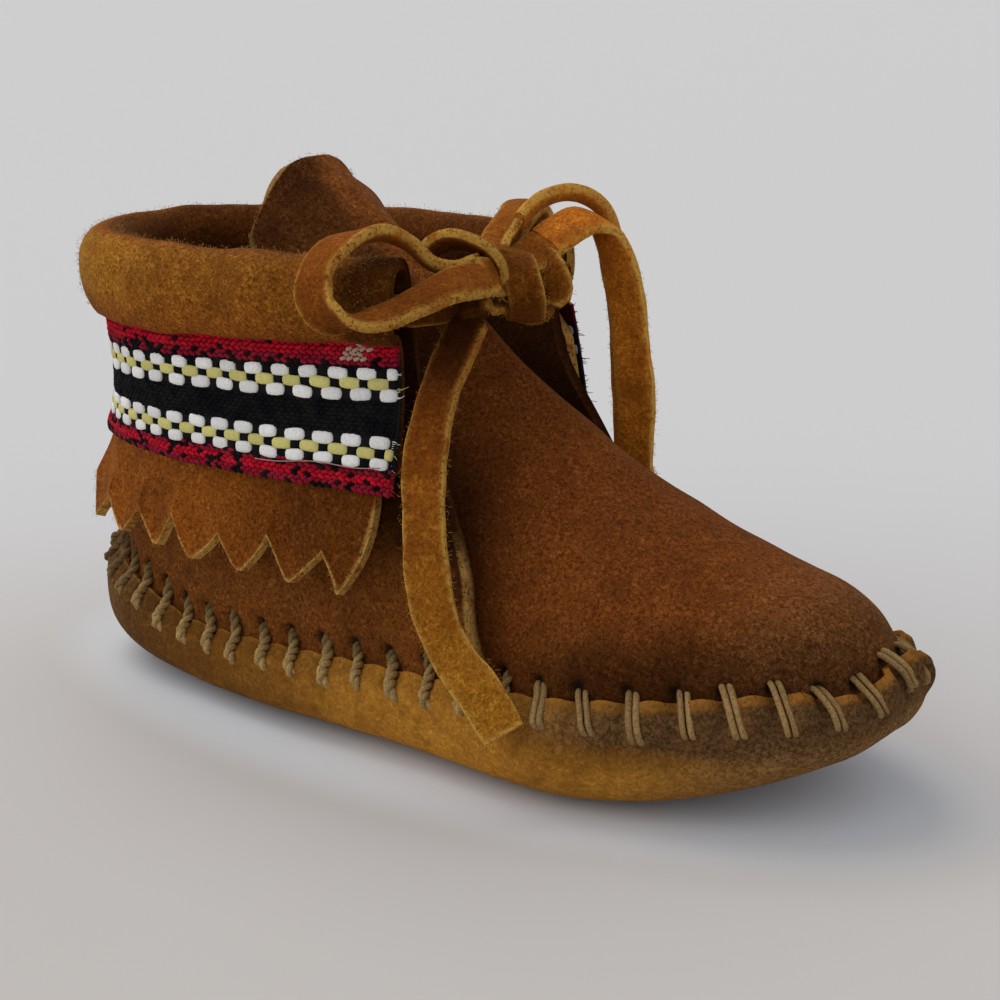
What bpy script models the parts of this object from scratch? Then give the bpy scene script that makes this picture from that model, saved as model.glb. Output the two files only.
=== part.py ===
"""Baby moccasin: a soft suede shoe with a turned-up sole, a folded ankle cuff and a bow.

The shoe stands on its sole with the toe towards +X and +Z up.  Sizes below are millimetres;
points become metres, measured from the middle of the whole shoe, when a mesh is made.
Angles run round the last from 0 at the back of the heel to 180 at the tip of the toe.
"""
import math

import bmesh
import bpy
from mathutils import Vector

MM = 0.001
RIGHT, LEFT = -1, 1

# Driving sizes
LENGTH = 122.0
MIDDLE = 60.6
SOLE_WALL = 1.6
LEATHER = 1.4
FIT = 0.3
SEWN_FIT = 0.6
COLLAR_HEIGHT = 56.0

# Sole
TOE_SPRING = 7.7
TOE_SPRING_FROM = 0.72
HEEL_LIFT = 2.0
HEEL_LIFT_TO = 0.12
SOLE_STEP = 7.5

# The sole's outline and the height of its sewn edge
OUTLINE = (
    ("angle", "half_width", "edge_height"),
    (0, 35.0, 18.0),
    (45, 27.5, 13.0),
    (60, 25.2, 10.8),
    (90, 23.1, 12.0),
    (120, 27.9, 14.6),
    (150, 28.7, 17.6),
    (180, 30.2, 20.2),
)
# How far the sole's outside lies within its outline, from the ground up to the sewn edge
SOLE_SIDE = (
    ("up", "inset"),
    (0.00, 9.0),
    (0.12, 4.2),
    (0.28, 1.6),
    (0.50, 0.3),
    (0.68, 0.0),
    (1.00, 0.9),
)

# Upper: the margin inside the sole, the quarter and the vamp
MARGIN = (0.45, 0.70, 1.00)
SEAM_INSET = SOLE_WALL + SEWN_FIT
COLLAR_CENTRE = 31.0
COLLAR_REAR = 23.4
COLLAR_FRONT = 45.5
COLLAR_HALF = 20.0
QUARTER_END = 107.0
# Which angle of the collar stands over which angle of the sole
QUARTER = (
    ("angle", "collar"),
    (0, 0),
    (30, 36),
    (60, 78),
    (85, 107),
    (QUARTER_END, 133.5),
)
# How far the quarter has moved from the seam towards the collar's plan
QUARTER_RISE = (
    ("up", "share"),
    (0.00, 0.00),
    (0.18, 0.12),
    (0.45, 0.50),
    (0.75, 0.88),
    (1.00, 1.00),
)
QUARTER_STEP = 8.0
QUARTER_UPS = (0.0, 0.08, 0.18, 0.30, 0.45, 0.62, 0.80, 1.0)
VAMP_START = 88.0
VAMP_STEP = 6.5
VAMP_TURNS = (0, 12, 25, 38, 50, 61, 71, 80)
VAMP_TUCK = 0.9
VAMP_TUCK_ENDS = 118.0
VAMP_THROAT = 57.5
VAMP_DROP_MOST = 2.2
# The vamp's ridge from the throat to the toe, and how round the vamp's section is there
RIDGE = (
    ("x", "height", "roundness"),
    (57.5, 54.2, 1.38),
    (69.0, 45.3, 1.42),
    (76.0, 40.6, 1.46),
    (83.6, 35.6, 1.52),
    (90.0, 31.9, 1.60),
    (96.4, 29.4, 1.70),
    (104.0, 27.2, 1.80),
    (113.4, 24.8, 1.90),
    (119.2, 20.6, 2.00),
)

# Tongue
TONGUE_TIP = (36.4, 69.8)
TONGUE_STEPS = 10
TONGUE_COLUMNS = 10
TONGUE_ARCH = 1.5
TONGUE = (
    ("along", "right", "left", "drop"),
    (0.00, 11.5, 11.5, 12.0),
    (0.50, 13.5, 13.5, 11.0),
    (0.78, 13.4, 14.2, 8.0),
    (0.91, 9.9, 7.6, 3.9),
    (0.98, 6.3, 3.7, 0.9),
    (1.00, 3.0, 1.6, 0.2),
)

# Insole
INSOLE_THICK = 1.2
INSOLE_INSET = 9.6
INSOLE_STEP = 12.0

# Cuff: its profile from the lip inside the collar, over the roll and down to the hem
CUFF_WALL = 1.3
HEM_TIP = 21.0
HEM_ROOT = 25.8
TOOTH = 8.3
FLAP_LEAN = 0.17
CORNER_FROM = 33.0
CORNER_CUT = 7.7
CORNER_CURVE = 1.7
ROLL_SAG = 3.4
SAG_FROM = 56.2
SAG_TO = 47.5
ROLL_PROFILE = (
    ("out", "height"),
    (-1.4, 56.4),
    (-1.3, 58.0),
    (0.4, 59.8),
    (3.0, 60.5),
    (5.6, 59.4),
    (7.0, 56.9),
    (6.7, 54.2),
    (4.9, 52.0),
)
FLAP_PROFILE = (
    ("height", "out"),
    (33.5, 2.1),
    (40.0, 2.0),
    (47.5, 2.0),
    (50.9, 2.3),
)
HEM_OUT = 4.4
HEM_FLARE = 1.6
HEM_ROWS = (0.3, 0.65, 1.0)
# One saw tooth: steep on the heel's side of its tip, then two shallow steps up
TOOTH_SHAPE = (
    ("along", "rise"),
    (0.00, 0.0),
    (0.33, 1.0),
    (0.66, 0.5),
)

# Braid
BRAID_FIT = 0.45
BRAID_THICK = 0.8
BRAID_TOP = 50.2
BRAID_BOTTOM = 34.2
BRAID_ROWS = 4
BRAID_COLUMNS = 40

# Lace: a flat thong, modelled as a round cord of the same section
LACE = 3.0
LACE_STEP = 3.0
THONG_THICK = 2.0
THONG_WIDE = 3.6
THONG_OUT = 2.4
THONG_HEIGHT = 54.4
THONG_COLUMNS = 32
THONG_RIGHT_END = ((66.8, -8.2, 55.0), (66.8, -13.0, 54.6), (65.4, -17.4, 54.4))
THONG_LEFT_END = ((65.4, 17.4, 54.4), (67.0, 12.0, 54.6), (67.0, 5.4, 55.0))
KNOT_CENTRE = (66.6, -1.5, 56.2)
KNOT_SIZE = (4.6, 6.2, 5.0)

# Lace routes: x from the heel, y and z
LOOP_RIGHT = (
    (67.0, -8.0, 59.2),
    (65.7, -10.3, 58.7),
    (64.3, -12.7, 59.6),
    (63.2, -15.5, 62.0),
    (62.0, -18.9, 63.4),
    (60.4, -22.4, 62.9),
    (59.1, -25.3, 61.1),
    (59.3, -27.5, 58.3),
    (61.1, -28.3, 55.7),
    (63.9, -27.1, 54.5),
    (66.8, -24.3, 55.0),
    (68.8, -20.4, 56.5),
    (70.1, -15.7, 57.8),
    (70.4, -10.2, 58.0),
)
LOOP_LEFT = (
    (68.4, 4.6, 60.4),
    (69.2, 6.8, 61.6),
    (70.3, 9.9, 62.8),
    (71.2, 12.8, 61.8),
    (72.0, 14.4, 59.2),
    (72.5, 15.5, 55.5),
    (72.8, 16.7, 50.9),
    (72.9, 17.6, 45.6),
    (72.9, 18.8, 40.0),
    (72.9, 19.1, 35.7),
    (72.4, 19.6, 32.1),
    (71.8, 20.4, 29.7),
    (70.8, 22.1, 28.1),
    (69.4, 24.0, 28.6),
    (68.3, 25.0, 31.7),
    (67.3, 26.2, 37.6),
    (66.5, 26.6, 44.2),
    (66.9, 25.1, 50.5),
    (67.5, 22.6, 56.8),
    (67.6, 19.3, 62.2),
    (66.7, 16.3, 64.7),
    (65.4, 13.0, 65.5),
    (64.3, 9.4, 64.8),
    (64.1, 6.2, 63.3),
    (64.4, 3.8, 61.9),
)
END_RIGHT = (
    (69.5, -12.1, 53.0),
    (69.5, -14.2, 50.5),
    (69.5, -16.5, 47.5),
    (69.7, -18.6, 44.7),
    (70.3, -21.0, 40.8),
    (71.0, -22.7, 37.1),
    (73.0, -25.2, 31.0),
    (74.0, -25.9, 26.0),
    (75.5, -26.3, 21.5),
    (78.5, -26.7, 17.5),
    (82.0, -26.9, 14.5),
    (85.5, -27.1, 10.5),
)
END_LEFT = (
    (61.9, 2.4, 57.7),
    (59.9, 8.2, 60.9),
    (57.3, 14.8, 62.6),
    (54.3, 20.4, 62.5),
    (52.0, 25.4, 60.6),
    (50.9, 28.2, 55.5),
    (50.7, 28.6, 48.5),
    (50.8, 28.8, 40.5),
)

# Colours and roughness
SUEDE_SOLE = (0.33, 0.18, 0.07, 0.95)
SUEDE_UPPER = (0.17, 0.07, 0.02, 0.95)
SUEDE_TONGUE = (0.14, 0.055, 0.018, 0.95)
SUEDE_CUFF = (0.21, 0.095, 0.028, 0.95)
SUEDE_LACE = (0.27, 0.12, 0.03, 0.90)
LINING = (0.16, 0.085, 0.04, 0.90)
COTTON = (0.02, 0.02, 0.025, 0.85)


def clear_scene():
    for thing in list(bpy.data.objects):
        bpy.data.objects.remove(thing)


def material(name, finish):
    made = bpy.data.materials.new(name)
    made.use_nodes = True
    shader = made.node_tree.nodes["Principled BSDF"]
    shader.inputs["Base Color"].default_value = (*finish[:3], 1.0)
    shader.inputs["Roughness"].default_value = finish[3]
    shader.inputs["Metallic"].default_value = 0.0
    return made


def read(table, column, at):
    """Smooth value of a named column, at a place along the table's first column."""
    rows = table[1:]
    places = [row[0] for row in rows]
    values = [row[table[0].index(column)] for row in rows]
    at = min(max(at, places[0]), places[-1])
    steps = [
        (values[k + 1] - values[k]) / (places[k + 1] - places[k]) for k in range(len(rows) - 1)
    ]

    def slope(k):
        if k == 0 or k == len(rows) - 1:
            return steps[0] if k == 0 else steps[-1]
        before, after = steps[k - 1], steps[k]
        return 2 * before * after / (before + after) if before * after > 0 else 0.0

    k = max(i for i in range(len(rows) - 1) if places[i] <= at)
    span = places[k + 1] - places[k]
    u = (at - places[k]) / span
    start, end = values[k], values[k + 1]
    bend = (u - 1) * ((u - 1) * slope(k) + u * slope(k + 1)) * span * u
    return start + (end - start) * u * u * (3 - 2 * u) + bend


def blend(a, b, share):
    return tuple(p + (q - p) * share for p, q in zip(a, b))


def within(plan, angle, depth):
    """Point of a half plan, moved in from the outline by a depth."""
    step = 0.5
    x0, y0 = plan(max(angle - step, 0.0))
    x1, y1 = plan(angle + step)
    if angle < step:
        x0, y0 = x1, -y1
    x, y = plan(angle)
    size = math.hypot(x1 - x0, y1 - y0)
    x += depth * (y1 - y0) / size
    y -= depth * (x1 - x0) / size
    return x, y


# ---------------------------------------------------------------- the last
def sole_plan(angle):
    turn = math.radians(angle)
    return LENGTH / 2 * (1 - math.cos(turn)), read(OUTLINE, "half_width", angle) * math.sin(turn)


def ground(angle):
    """Height of the sole's underside: toe spring and a small lift at the heel."""
    along = sole_plan(angle)[0] / LENGTH
    toe = max(along - TOE_SPRING_FROM, 0.0) / (1 - TOE_SPRING_FROM)
    heel = max(HEEL_LIFT_TO - along, 0.0) / HEEL_LIFT_TO
    return TOE_SPRING * toe**2 + HEEL_LIFT * heel**2


def sole_side(side, angle, up, depth=0.0):
    """Point on the sole's side, moved in by a depth, at a share of the edge's height."""
    x, y = within(sole_plan, angle, read(SOLE_SIDE, "inset", up) + depth)
    low = ground(angle)
    return x, side * max(y, 0.0), low + (read(OUTLINE, "edge_height", angle) - low) * up


def collar_plan(angle):
    turn = math.radians(angle)
    reach = COLLAR_REAR if angle < 90 else COLLAR_FRONT
    return COLLAR_CENTRE - reach * math.cos(turn), COLLAR_HALF * math.sin(turn)


def quarter(side, angle, up, depth=0.0):
    """Point on the quarter, from the seam (0) to the collar (1)."""
    seam = sole_side(side, angle, 1.0, SEAM_INSET + depth)
    x, y = within(collar_plan, read(QUARTER, "collar", angle), depth)
    share = read(QUARTER_RISE, "share", up)
    flat = blend(seam[:2], (x, side * y), share)
    return flat[0], flat[1], seam[2] + (COLLAR_HEIGHT - seam[2]) * up


def ridge_x(angle):
    """Where a vamp section that starts at this angle of the seam meets the ridge."""
    first = within(sole_plan, VAMP_START, SEAM_INSET)[0]
    last = RIDGE[-1][0]
    here = within(sole_plan, angle, SEAM_INSET + read(SOLE_SIDE, "inset", 1.0))[0]
    share = min(max((here - first) / (last - first), 0.0), 1.0)
    return VAMP_THROAT + (last - VAMP_THROAT) * share


def tuck(angle):
    """How far the vamp lies inside the quarter: all of it at the quarter's front edge."""
    share = (VAMP_TUCK_ENDS - angle) / (VAMP_TUCK_ENDS - QUARTER_END)
    return VAMP_TUCK * min(max(share, 0.0), 1.0)


def vamp(side, angle, turn, depth=0.0):
    """Point on a vamp section, from the seam (turn 0) up to the ridge (turn 90)."""
    seam = sole_side(side, angle, 1.0, SEAM_INSET + tuck(angle) + depth)
    along = ridge_x(angle)
    rise = read(RIDGE, "height", along) - seam[2]
    width = max(abs(seam[1]), 1.0)
    drop = depth * min(math.hypot(1.0, rise / width), VAMP_DROP_MOST)
    power = 2 / read(RIDGE, "roundness", along)
    across = 1 - math.cos(math.radians(turn)) ** power
    up = math.sin(math.radians(turn)) ** power
    x = seam[0] + (along - seam[0]) * across
    return x, seam[1] * (1 - across), seam[2] + (rise - drop) * up


# ---------------------------------------------------------------- meshes
def place(point):
    return ((point[0] - MIDDLE) * MM, point[1] * MM, point[2] * MM)


def finish_mesh(mesh, name, finish):
    bmesh.ops.remove_doubles(mesh, verts=mesh.verts, dist=0.00002)
    bmesh.ops.recalc_face_normals(mesh, faces=mesh.faces)
    data = bpy.data.meshes.new(name)
    mesh.to_mesh(data)
    mesh.free()
    data.materials.append(finish)
    data.shade_smooth()
    data.set_sharp_from_angle(angle=math.radians(40))
    made = bpy.data.objects.new(name, data)
    bpy.context.collection.objects.link(made)
    return made


def sheet(name, finish, outer, inner, ring=False, fused_start=False, ends=(True, True)):
    """Closed solid between two skins; each skin is a list of columns of points."""
    mesh = bmesh.new()
    skins = [[[mesh.verts.new(place(p)) for p in column] for column in skin]
             for skin in (outer, inner)]
    count, rows = len(outer), len(outer[0])
    pairs = [(i, (i + 1) % count) for i in range(count if ring else count - 1)]
    for skin in skins:
        for i, n in pairs:
            for j in range(rows - 1):
                mesh.faces.new((skin[i][j], skin[n][j], skin[n][j + 1], skin[i][j + 1]))
    out, inn = skins
    for j in (() if fused_start else (0,)) + (rows - 1,):
        for i, n in pairs:
            mesh.faces.new((out[i][j], out[n][j], inn[n][j], inn[i][j]))
    for i, used in zip((0, count - 1), (False, False) if ring else ends):
        for j in range(rows - 1 if used else 0):
            mesh.faces.new((out[i][j], out[i][j + 1], inn[i][j + 1], inn[i][j]))
    return finish_mesh(mesh, name, finish)


def angles(start, end, step):
    count = max(round((end - start) / step), 1)
    return [start + (end - start) * k / count for k in range(count + 1)]


def around(end, step):
    """Columns from the right front, round the heel, to the left front."""
    half = angles(0.0, end, step)
    return [(RIGHT, a) for a in reversed(half)] + [(LEFT, a) for a in half[1:]]


# ---------------------------------------------------------------- sub-parts
def make_sole():
    """One piece of suede, flat under the foot and turned up all round as a pan."""
    ups = [row[0] for row in SOLE_SIDE[1:-1]] + [0.85, 1.0]
    spread = (0.0, 0.5)
    outer, inner = [], []
    columns = around(180.0, SOLE_STEP)[:-1]
    for side, angle in columns:
        low, edge = ground(angle), read(OUTLINE, "edge_height", angle)
        side_points = [sole_side(side, angle, up) for up in ups]
        foot = side_points[0]
        outer.append([(foot[0], foot[1] * f, low) for f in spread] + side_points)
        # the inside is the same profile, moved in square to it by the sole's thickness
        profile = [(read(SOLE_SIDE, "inset", up), low + (edge - low) * up) for up in ups]
        column = []
        for k, (inset, height) in enumerate(profile):
            before, after = profile[max(k - 1, 0)], profile[min(k + 1, len(profile) - 1)]
            run, rise = before[0] - after[0], after[1] - before[1]
            if k == 0:
                run, rise = 1.0, 0.0
            if k == len(profile) - 1:
                run, rise = 0.0, 1.0
            size = math.hypot(run, rise)
            x, y = within(sole_plan, angle, inset + SOLE_WALL * rise / size)
            column.append((x, side * max(y, 0.0), height + SOLE_WALL * run / size))
        foot = column[0]
        inner.append([(foot[0], foot[1] * f, foot[2]) for f in spread] + column)
    return sheet("sole", material("sole_suede", SUEDE_SOLE), outer, inner,
                 ring=True, fused_start=True)


def make_insole():
    """Thin leather sock lying loose on the inside of the sole."""
    spread = (0.0, 0.5, 1.0)
    skins = ([], [])
    for side, angle in around(180.0, INSOLE_STEP)[:-1]:
        x, y = within(sole_plan, angle, INSOLE_INSET)
        low = ground(angle) + SOLE_WALL + FIT
        for skin, height in zip(skins, (low + INSOLE_THICK, low)):
            skin.append([(x, side * max(y, 0.0) * f, height) for f in spread])
    return sheet("insole", material("insole_leather", LINING), *skins,
                 ring=True, fused_start=True)


def margin(side, angle, depth):
    """The part of the upper that is sewn inside the sole's edge, up to just below the seam."""
    return [sole_side(side, angle, up, SEAM_INSET + depth) for up in MARGIN[:-1]]


def make_upper():
    """Quarter and vamp, joined where both are sewn into the sole."""
    finish = material("upper_suede", SUEDE_UPPER)
    columns = around(QUARTER_END, QUARTER_STEP)
    skins = [[margin(side, angle, depth) + [quarter(side, angle, up, depth) for up in QUARTER_UPS]
              for side, angle in columns] for depth in (0.0, LEATHER)]
    upper = sheet("upper", finish, *skins)

    skins = []
    for depth in (0.0, LEATHER):
        skin = []
        for angle in angles(VAMP_START, 180.0, VAMP_STEP):
            halves = [margin(side, angle, depth + tuck(angle))
                      + [vamp(side, angle, turn, depth) for turn in VAMP_TURNS]
                      for side in (RIGHT, LEFT)]
            crown = vamp(LEFT, angle, 90, depth)
            skin.append(halves[0] + [(crown[0], 0.0, crown[2])] + halves[1][::-1])
        skins.append(skin)
    front = sheet("vamp_form", finish, *skins, ends=(True, False))
    front.hide_render = True
    front.display_type = "WIRE"
    union = upper.modifiers.new("join_vamp", "BOOLEAN")
    union.operation = "UNION"
    union.solver = "EXACT"
    union.object = front
    return upper


def make_tongue():
    """Rounded tab that carries the vamp's ridge on, up through the collar."""
    root = (VAMP_THROAT - FIT, read(RIDGE, "height", VAMP_THROAT))
    across = [2 * k / TONGUE_COLUMNS - 1 for k in range(TONGUE_COLUMNS + 1)]
    lean = math.atan2(TONGUE_TIP[1] - root[1], root[0] - TONGUE_TIP[0])
    skins = []
    for depth in (0.0, LEATHER):
        skin = []
        for k in range(TONGUE_STEPS + 1):
            along = math.sin(math.pi / 2 * k / TONGUE_STEPS)
            x, z = blend(root, TONGUE_TIP, along)
            right, left = read(TONGUE, "right", along), read(TONGUE, "left", along)
            drops = [read(TONGUE, "drop", along) * abs(f) ** TONGUE_ARCH + depth for f in across]
            skin.append([(x - math.sin(lean) * drop, (left if f > 0 else right) * f,
                          z - math.cos(lean) * drop) for f, drop in zip(across, drops)])
        skins.append(skin)
    return sheet("tongue", material("tongue_suede", SUEDE_TONGUE), *skins)


def collar_length():
    """Length of the collar's plan from the back of the heel to its front end."""
    points = [collar_plan(a) for a in angles(0.0, QUARTER[-1][1], 1.0)]
    return sum(math.dist(p, q) for p, q in zip(points, points[1:]))


def quarter_plan(angle, height, out=0.0):
    """Plan point of the quarter at a height, standing out from its surface."""
    edge = read(OUTLINE, "edge_height", angle)
    return quarter(LEFT, angle, (height - edge) / (COLLAR_HEIGHT - edge), -out)[:2]


def wall(arc, height, out):
    """Point at a length round the quarter, at a height, standing out from its surface.

    The length is negative on the right side and positive on the left.
    """
    height = min(height, COLLAR_HEIGHT)
    steps = angles(0.0, QUARTER_END, 1.0)
    plan = [quarter_plan(angle, height) for angle in steps]
    run = 0.0
    for k in range(len(steps) - 1):
        piece = math.dist(plan[k], plan[k + 1])
        if run + piece >= abs(arc) or k == len(steps) - 2:
            angle = steps[k] + (steps[k + 1] - steps[k]) * (abs(arc) - run) / piece
            x, y = quarter_plan(angle, height, out)
            return x, y if arc >= 0 else -y
        run += piece


def sagged(arc, height):
    """The roll hangs lower at the heel than at its front ends."""
    share = min(max((SAG_FROM - height) / (SAG_FROM - SAG_TO), 0.0), 1.0)
    flap = min(max((height - CORNER_FROM) / (BRAID_TOP - CORNER_FROM), 0.0), 1.0)
    back = 1.0 - min(abs(arc) / collar_length(), 1.0)
    return height - ROLL_SAG * back * share * flap


def flap_end(height):
    """How far round the cuff and its braid reach at a height below the roll."""
    return collar_length() + FLAP_LEAN * max(BRAID_TOP - height, 0.0)


def cuff_end(height):
    """The flap's end, with its lower front corner cut away in a curve."""
    cut = max(CORNER_FROM - height, 0.0) / (CORNER_FROM - HEM_TIP)
    return flap_end(height) - CORNER_CUT * cut**CORNER_CURVE


def make_cuff():
    """The quarter's top, folded out over the lace as a roll, with a saw-toothed hem."""
    finish = material("cuff_suede", SUEDE_CUFF)
    reach = cuff_end(HEM_TIP)
    teeth = round(2 * reach / TOOTH)
    end = flap_end(HEM_TIP)
    columns = [(-end, 0.0)]
    for k in range(teeth):
        for along, rise in TOOTH_SHAPE[1:]:
            columns.append((-reach + 2 * reach * (k + along) / teeth, rise))
    columns += [(reach, 0.0), (end, 0.0)]
    low, low_out = FLAP_PROFILE[1]
    body = [*ROLL_PROFILE[1:], *((out, height) for height, out in reversed(FLAP_PROFILE[1:]))]
    outer, inner = [], []
    for arc, rise in columns:
        hem = HEM_TIP + (HEM_ROOT - HEM_TIP) * rise
        line = body + [(low_out + (HEM_OUT - low_out) * f**HEM_FLARE, low + (hem - low) * f)
                       for f in HEM_ROWS]
        out_column, in_column = [], []
        for k, (out, height) in enumerate(line):
            before, after = line[max(k - 1, 0)], line[min(k + 1, len(line) - 1)]
            size = math.hypot(after[0] - before[0], after[1] - before[1])
            face = ((before[1] - after[1]) / size, (after[0] - before[0]) / size)
            spot = math.copysign(min(abs(arc), cuff_end(height)), arc)
            level = sagged(arc, height)
            out_column.append((*wall(spot, level, out), level))
            in_column.append((*wall(spot, level, out - CUFF_WALL * face[0]),
                              level - CUFF_WALL * face[1]))
        outer.append(out_column)
        inner.append(in_column)
    return sheet("cuff", finish, outer, inner)


def make_braid():
    """Woven band sewn round the cuff below the roll."""
    heights = [BRAID_TOP + (BRAID_BOTTOM - BRAID_TOP) * k / BRAID_ROWS
               for k in range(BRAID_ROWS + 1)]
    outer, inner = [], []
    outs = [read(FLAP_PROFILE, "out", height) + BRAID_FIT for height in heights]
    for k in range(BRAID_COLUMNS + 1):
        share = 2 * k / BRAID_COLUMNS - 1
        for skin, proud in ((outer, BRAID_THICK), (inner, 0.0)):
            column = []
            for height, out in zip(heights, outs):
                arc = share * flap_end(height)
                low = sagged(arc, height)
                column.append((*wall(arc, low, out + proud), low))
            skin.append(column)
    return sheet("braid", material("braid_cotton", COTTON), outer, inner)


def smooth_route(points, step):
    """Evenly spaced points on a smooth curve through a route's own points."""
    ends = [blend(points[0], points[1], -1.0), *points, blend(points[-1], points[-2], -1.0)]
    fine = []
    for a, b, c, d in zip(ends, ends[1:], ends[2:], ends[3:]):
        for k in range(16):
            u = k / 16
            fine.append(tuple(
                0.5 * (2 * q + (r - p) * u + (2 * p - 5 * q + 4 * r - s) * u**2
                       + (3 * q - p - 3 * r + s) * u**3)
                for p, q, r, s in zip(a, b, c, d)))
    fine.append(points[-1])
    runs = [math.dist(p, q) for p, q in zip(fine, fine[1:])]
    count = max(round(sum(runs) / step), 2)
    goal, gone, picked = sum(runs) / count, 0.0, [fine[0]]
    for k, run in enumerate(runs):
        while gone + run >= goal * len(picked) - 1e-9 and len(picked) < count:
            picked.append(blend(fine[k], fine[k + 1], (goal * len(picked) - gone) / run))
        gone += run
    return picked + [fine[-1]]


def make_cord(name, finish, route):
    """Free stretch of lace, as a round cord of the thong's own section."""
    curve = bpy.data.curves.new(name, "CURVE")
    curve.dimensions = "3D"
    curve.bevel_depth = LACE / 2 * MM
    curve.bevel_resolution = 2
    curve.use_fill_caps = True
    points = smooth_route(route, LACE_STEP)
    spline = curve.splines.new("POLY")
    spline.points.add(len(points) - 1)
    for spot, point in zip(spline.points, points):
        spot.co = (*place(point), 1.0)
    curve.materials.append(finish)
    made = bpy.data.objects.new(name, curve)
    bpy.context.collection.objects.link(made)
    return made


def make_lace():
    """Thong that runs in the roll and crosses the throat, with its knot, loops and ends."""
    finish = material("lace_suede", SUEDE_LACE)
    reach = collar_length()
    spots = [reach * (2 * k / THONG_COLUMNS - 1) for k in range(THONG_COLUMNS + 1)]
    path = [(*wall(spot, COLLAR_HEIGHT, THONG_OUT), THONG_HEIGHT) for spot in spots]
    path = [*THONG_RIGHT_END, *path, *THONG_LEFT_END]
    outer, inner = [], []
    for k, (x, y, z) in enumerate(path):
        before, after = path[max(k - 1, 0)], path[min(k + 1, len(path) - 1)]
        run = math.dist(before[:2], after[:2])
        face = ((before[1] - after[1]) / run, (after[0] - before[0]) / run)
        for skin, out in ((outer, -THONG_THICK / 2), (inner, THONG_THICK / 2)):
            spot = (x + face[0] * out, y + face[1] * out)
            skin.append([(*spot, z + THONG_WIDE / 2), (*spot, z - THONG_WIDE / 2)])
    sheet("lace_drawstring", finish, outer, inner)

    ball = bmesh.new()
    bmesh.ops.create_uvsphere(ball, u_segments=14, v_segments=8, radius=1.0)
    for vert in ball.verts:
        vert.co = Vector(place([c + s * v for c, s, v in zip(KNOT_CENTRE, KNOT_SIZE, vert.co)]))
    finish_mesh(ball, "lace_knot", finish)

    make_cord("lace_loop_right", finish, LOOP_RIGHT)
    make_cord("lace_loop_left", finish, LOOP_LEFT)
    make_cord("lace_end_right", finish, END_RIGHT)
    make_cord("lace_end_left", finish, END_LEFT)


clear_scene()
make_sole()
make_insole()
make_upper()
make_tongue()
make_cuff()
make_braid()
make_lace()
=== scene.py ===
import math

import bpy
import numpy as np
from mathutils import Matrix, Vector


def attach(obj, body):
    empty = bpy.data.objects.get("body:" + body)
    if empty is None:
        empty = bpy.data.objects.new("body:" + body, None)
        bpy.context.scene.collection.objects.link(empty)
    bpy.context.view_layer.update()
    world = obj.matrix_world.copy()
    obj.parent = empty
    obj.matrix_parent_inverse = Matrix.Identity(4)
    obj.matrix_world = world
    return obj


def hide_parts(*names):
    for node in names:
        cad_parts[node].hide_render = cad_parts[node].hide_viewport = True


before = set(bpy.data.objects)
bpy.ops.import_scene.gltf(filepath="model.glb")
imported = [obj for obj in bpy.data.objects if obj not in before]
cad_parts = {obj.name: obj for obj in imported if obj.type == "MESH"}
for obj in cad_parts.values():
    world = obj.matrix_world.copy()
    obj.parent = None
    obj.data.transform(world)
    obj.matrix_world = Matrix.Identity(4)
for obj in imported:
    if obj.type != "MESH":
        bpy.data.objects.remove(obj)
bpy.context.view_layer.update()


# ---- Camera, floor and light ----
# The shoe stands on pale paper under a wide soft light and is seen from its right front, a
# little above. Lengths are millimetres from the back of the heel, with the toe towards +X.
MM = 0.001
MIDDLE = 60.6
CAMERA_SPOT = (200.6, -183.5, 90.1)
CAMERA_AIM = (62.6, 3.1, 27.2)
CAMERA_LENS = 67.7
CAMERA_NEAR = 0.01
CAMERA_FAR = 100.0
FLOOR_SIZE = 60.0
PAPER_FAR = (0.635, 0.62, 0.595)
PAPER_NEAR = (0.545, 0.51, 0.465)
PAPER_BLOTCH = 60.0
# Painted light, to lighten the shoe's cast shadow: the paler, bluer paper round the shoe,
# with half the length and half the width of that patch in metres
PAPER_PAINTED_LIGHT = (0.80, 0.83, 0.84)
PAINTED_LIGHT_REACH = (0.062, 0.030)
SKY = (0.79, 0.83, 0.93, 1.0)
SKY_STRENGTH = 0.70
# Each light's name, strength, spread in degrees, colour and the direction that it comes from
LIGHTS = (
    ("key_light", 1.15, 50.0, (1.0, 0.96, 0.91), (-0.62, 0.08, 1.0)),
    ("side_light", 0.60, 60.0, (1.0, 0.96, 0.92), (-0.55, -0.85, 0.45)),
    ("fill_light", 0.22, 90.0, (0.95, 0.97, 1.0), (0.70, -0.60, 0.40)),
)


def place(points):
    """Millimetres from the back of the heel become metres in the frame."""
    return (np.asarray(points, float) - (MIDDLE, 0.0, 0.0)) * MM


def aimed(item, spot, back):
    item.location = spot
    item.rotation_euler = Vector(back).to_track_quat("Z", "Y").to_euler()
    bpy.context.collection.objects.link(item)


def feed(tree, socket, value):
    """Links an input to another node's output, or sets it to a plain value."""
    if isinstance(value, bpy.types.NodeSocket):
        tree.links.new(value, socket)
    else:
        socket.default_value = (*value, 1.0) if socket.type == "RGBA" else value


def add_node(tree, kind, **values):
    """New node with some of its inputs fed by name, and the rest of the values as settings."""
    node = tree.nodes.new(kind)
    for key, value in values.items():
        name = key.replace("_", " ")
        sockets = [s for s in node.inputs if s.name == name and s.enabled]
        if sockets:
            feed(tree, sockets[0], value)
        else:
            setattr(node, key, value)
    return node


def mixed(tree, share, first, second, blend="MIX"):
    """Colour between two colours, by a share."""
    node = add_node(tree, "ShaderNodeMix", data_type="RGBA", blend_type=blend)
    for number, value in ((0, share), (6, first), (7, second)):
        feed(tree, node.inputs[number], value)
    return node.outputs[2]


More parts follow.
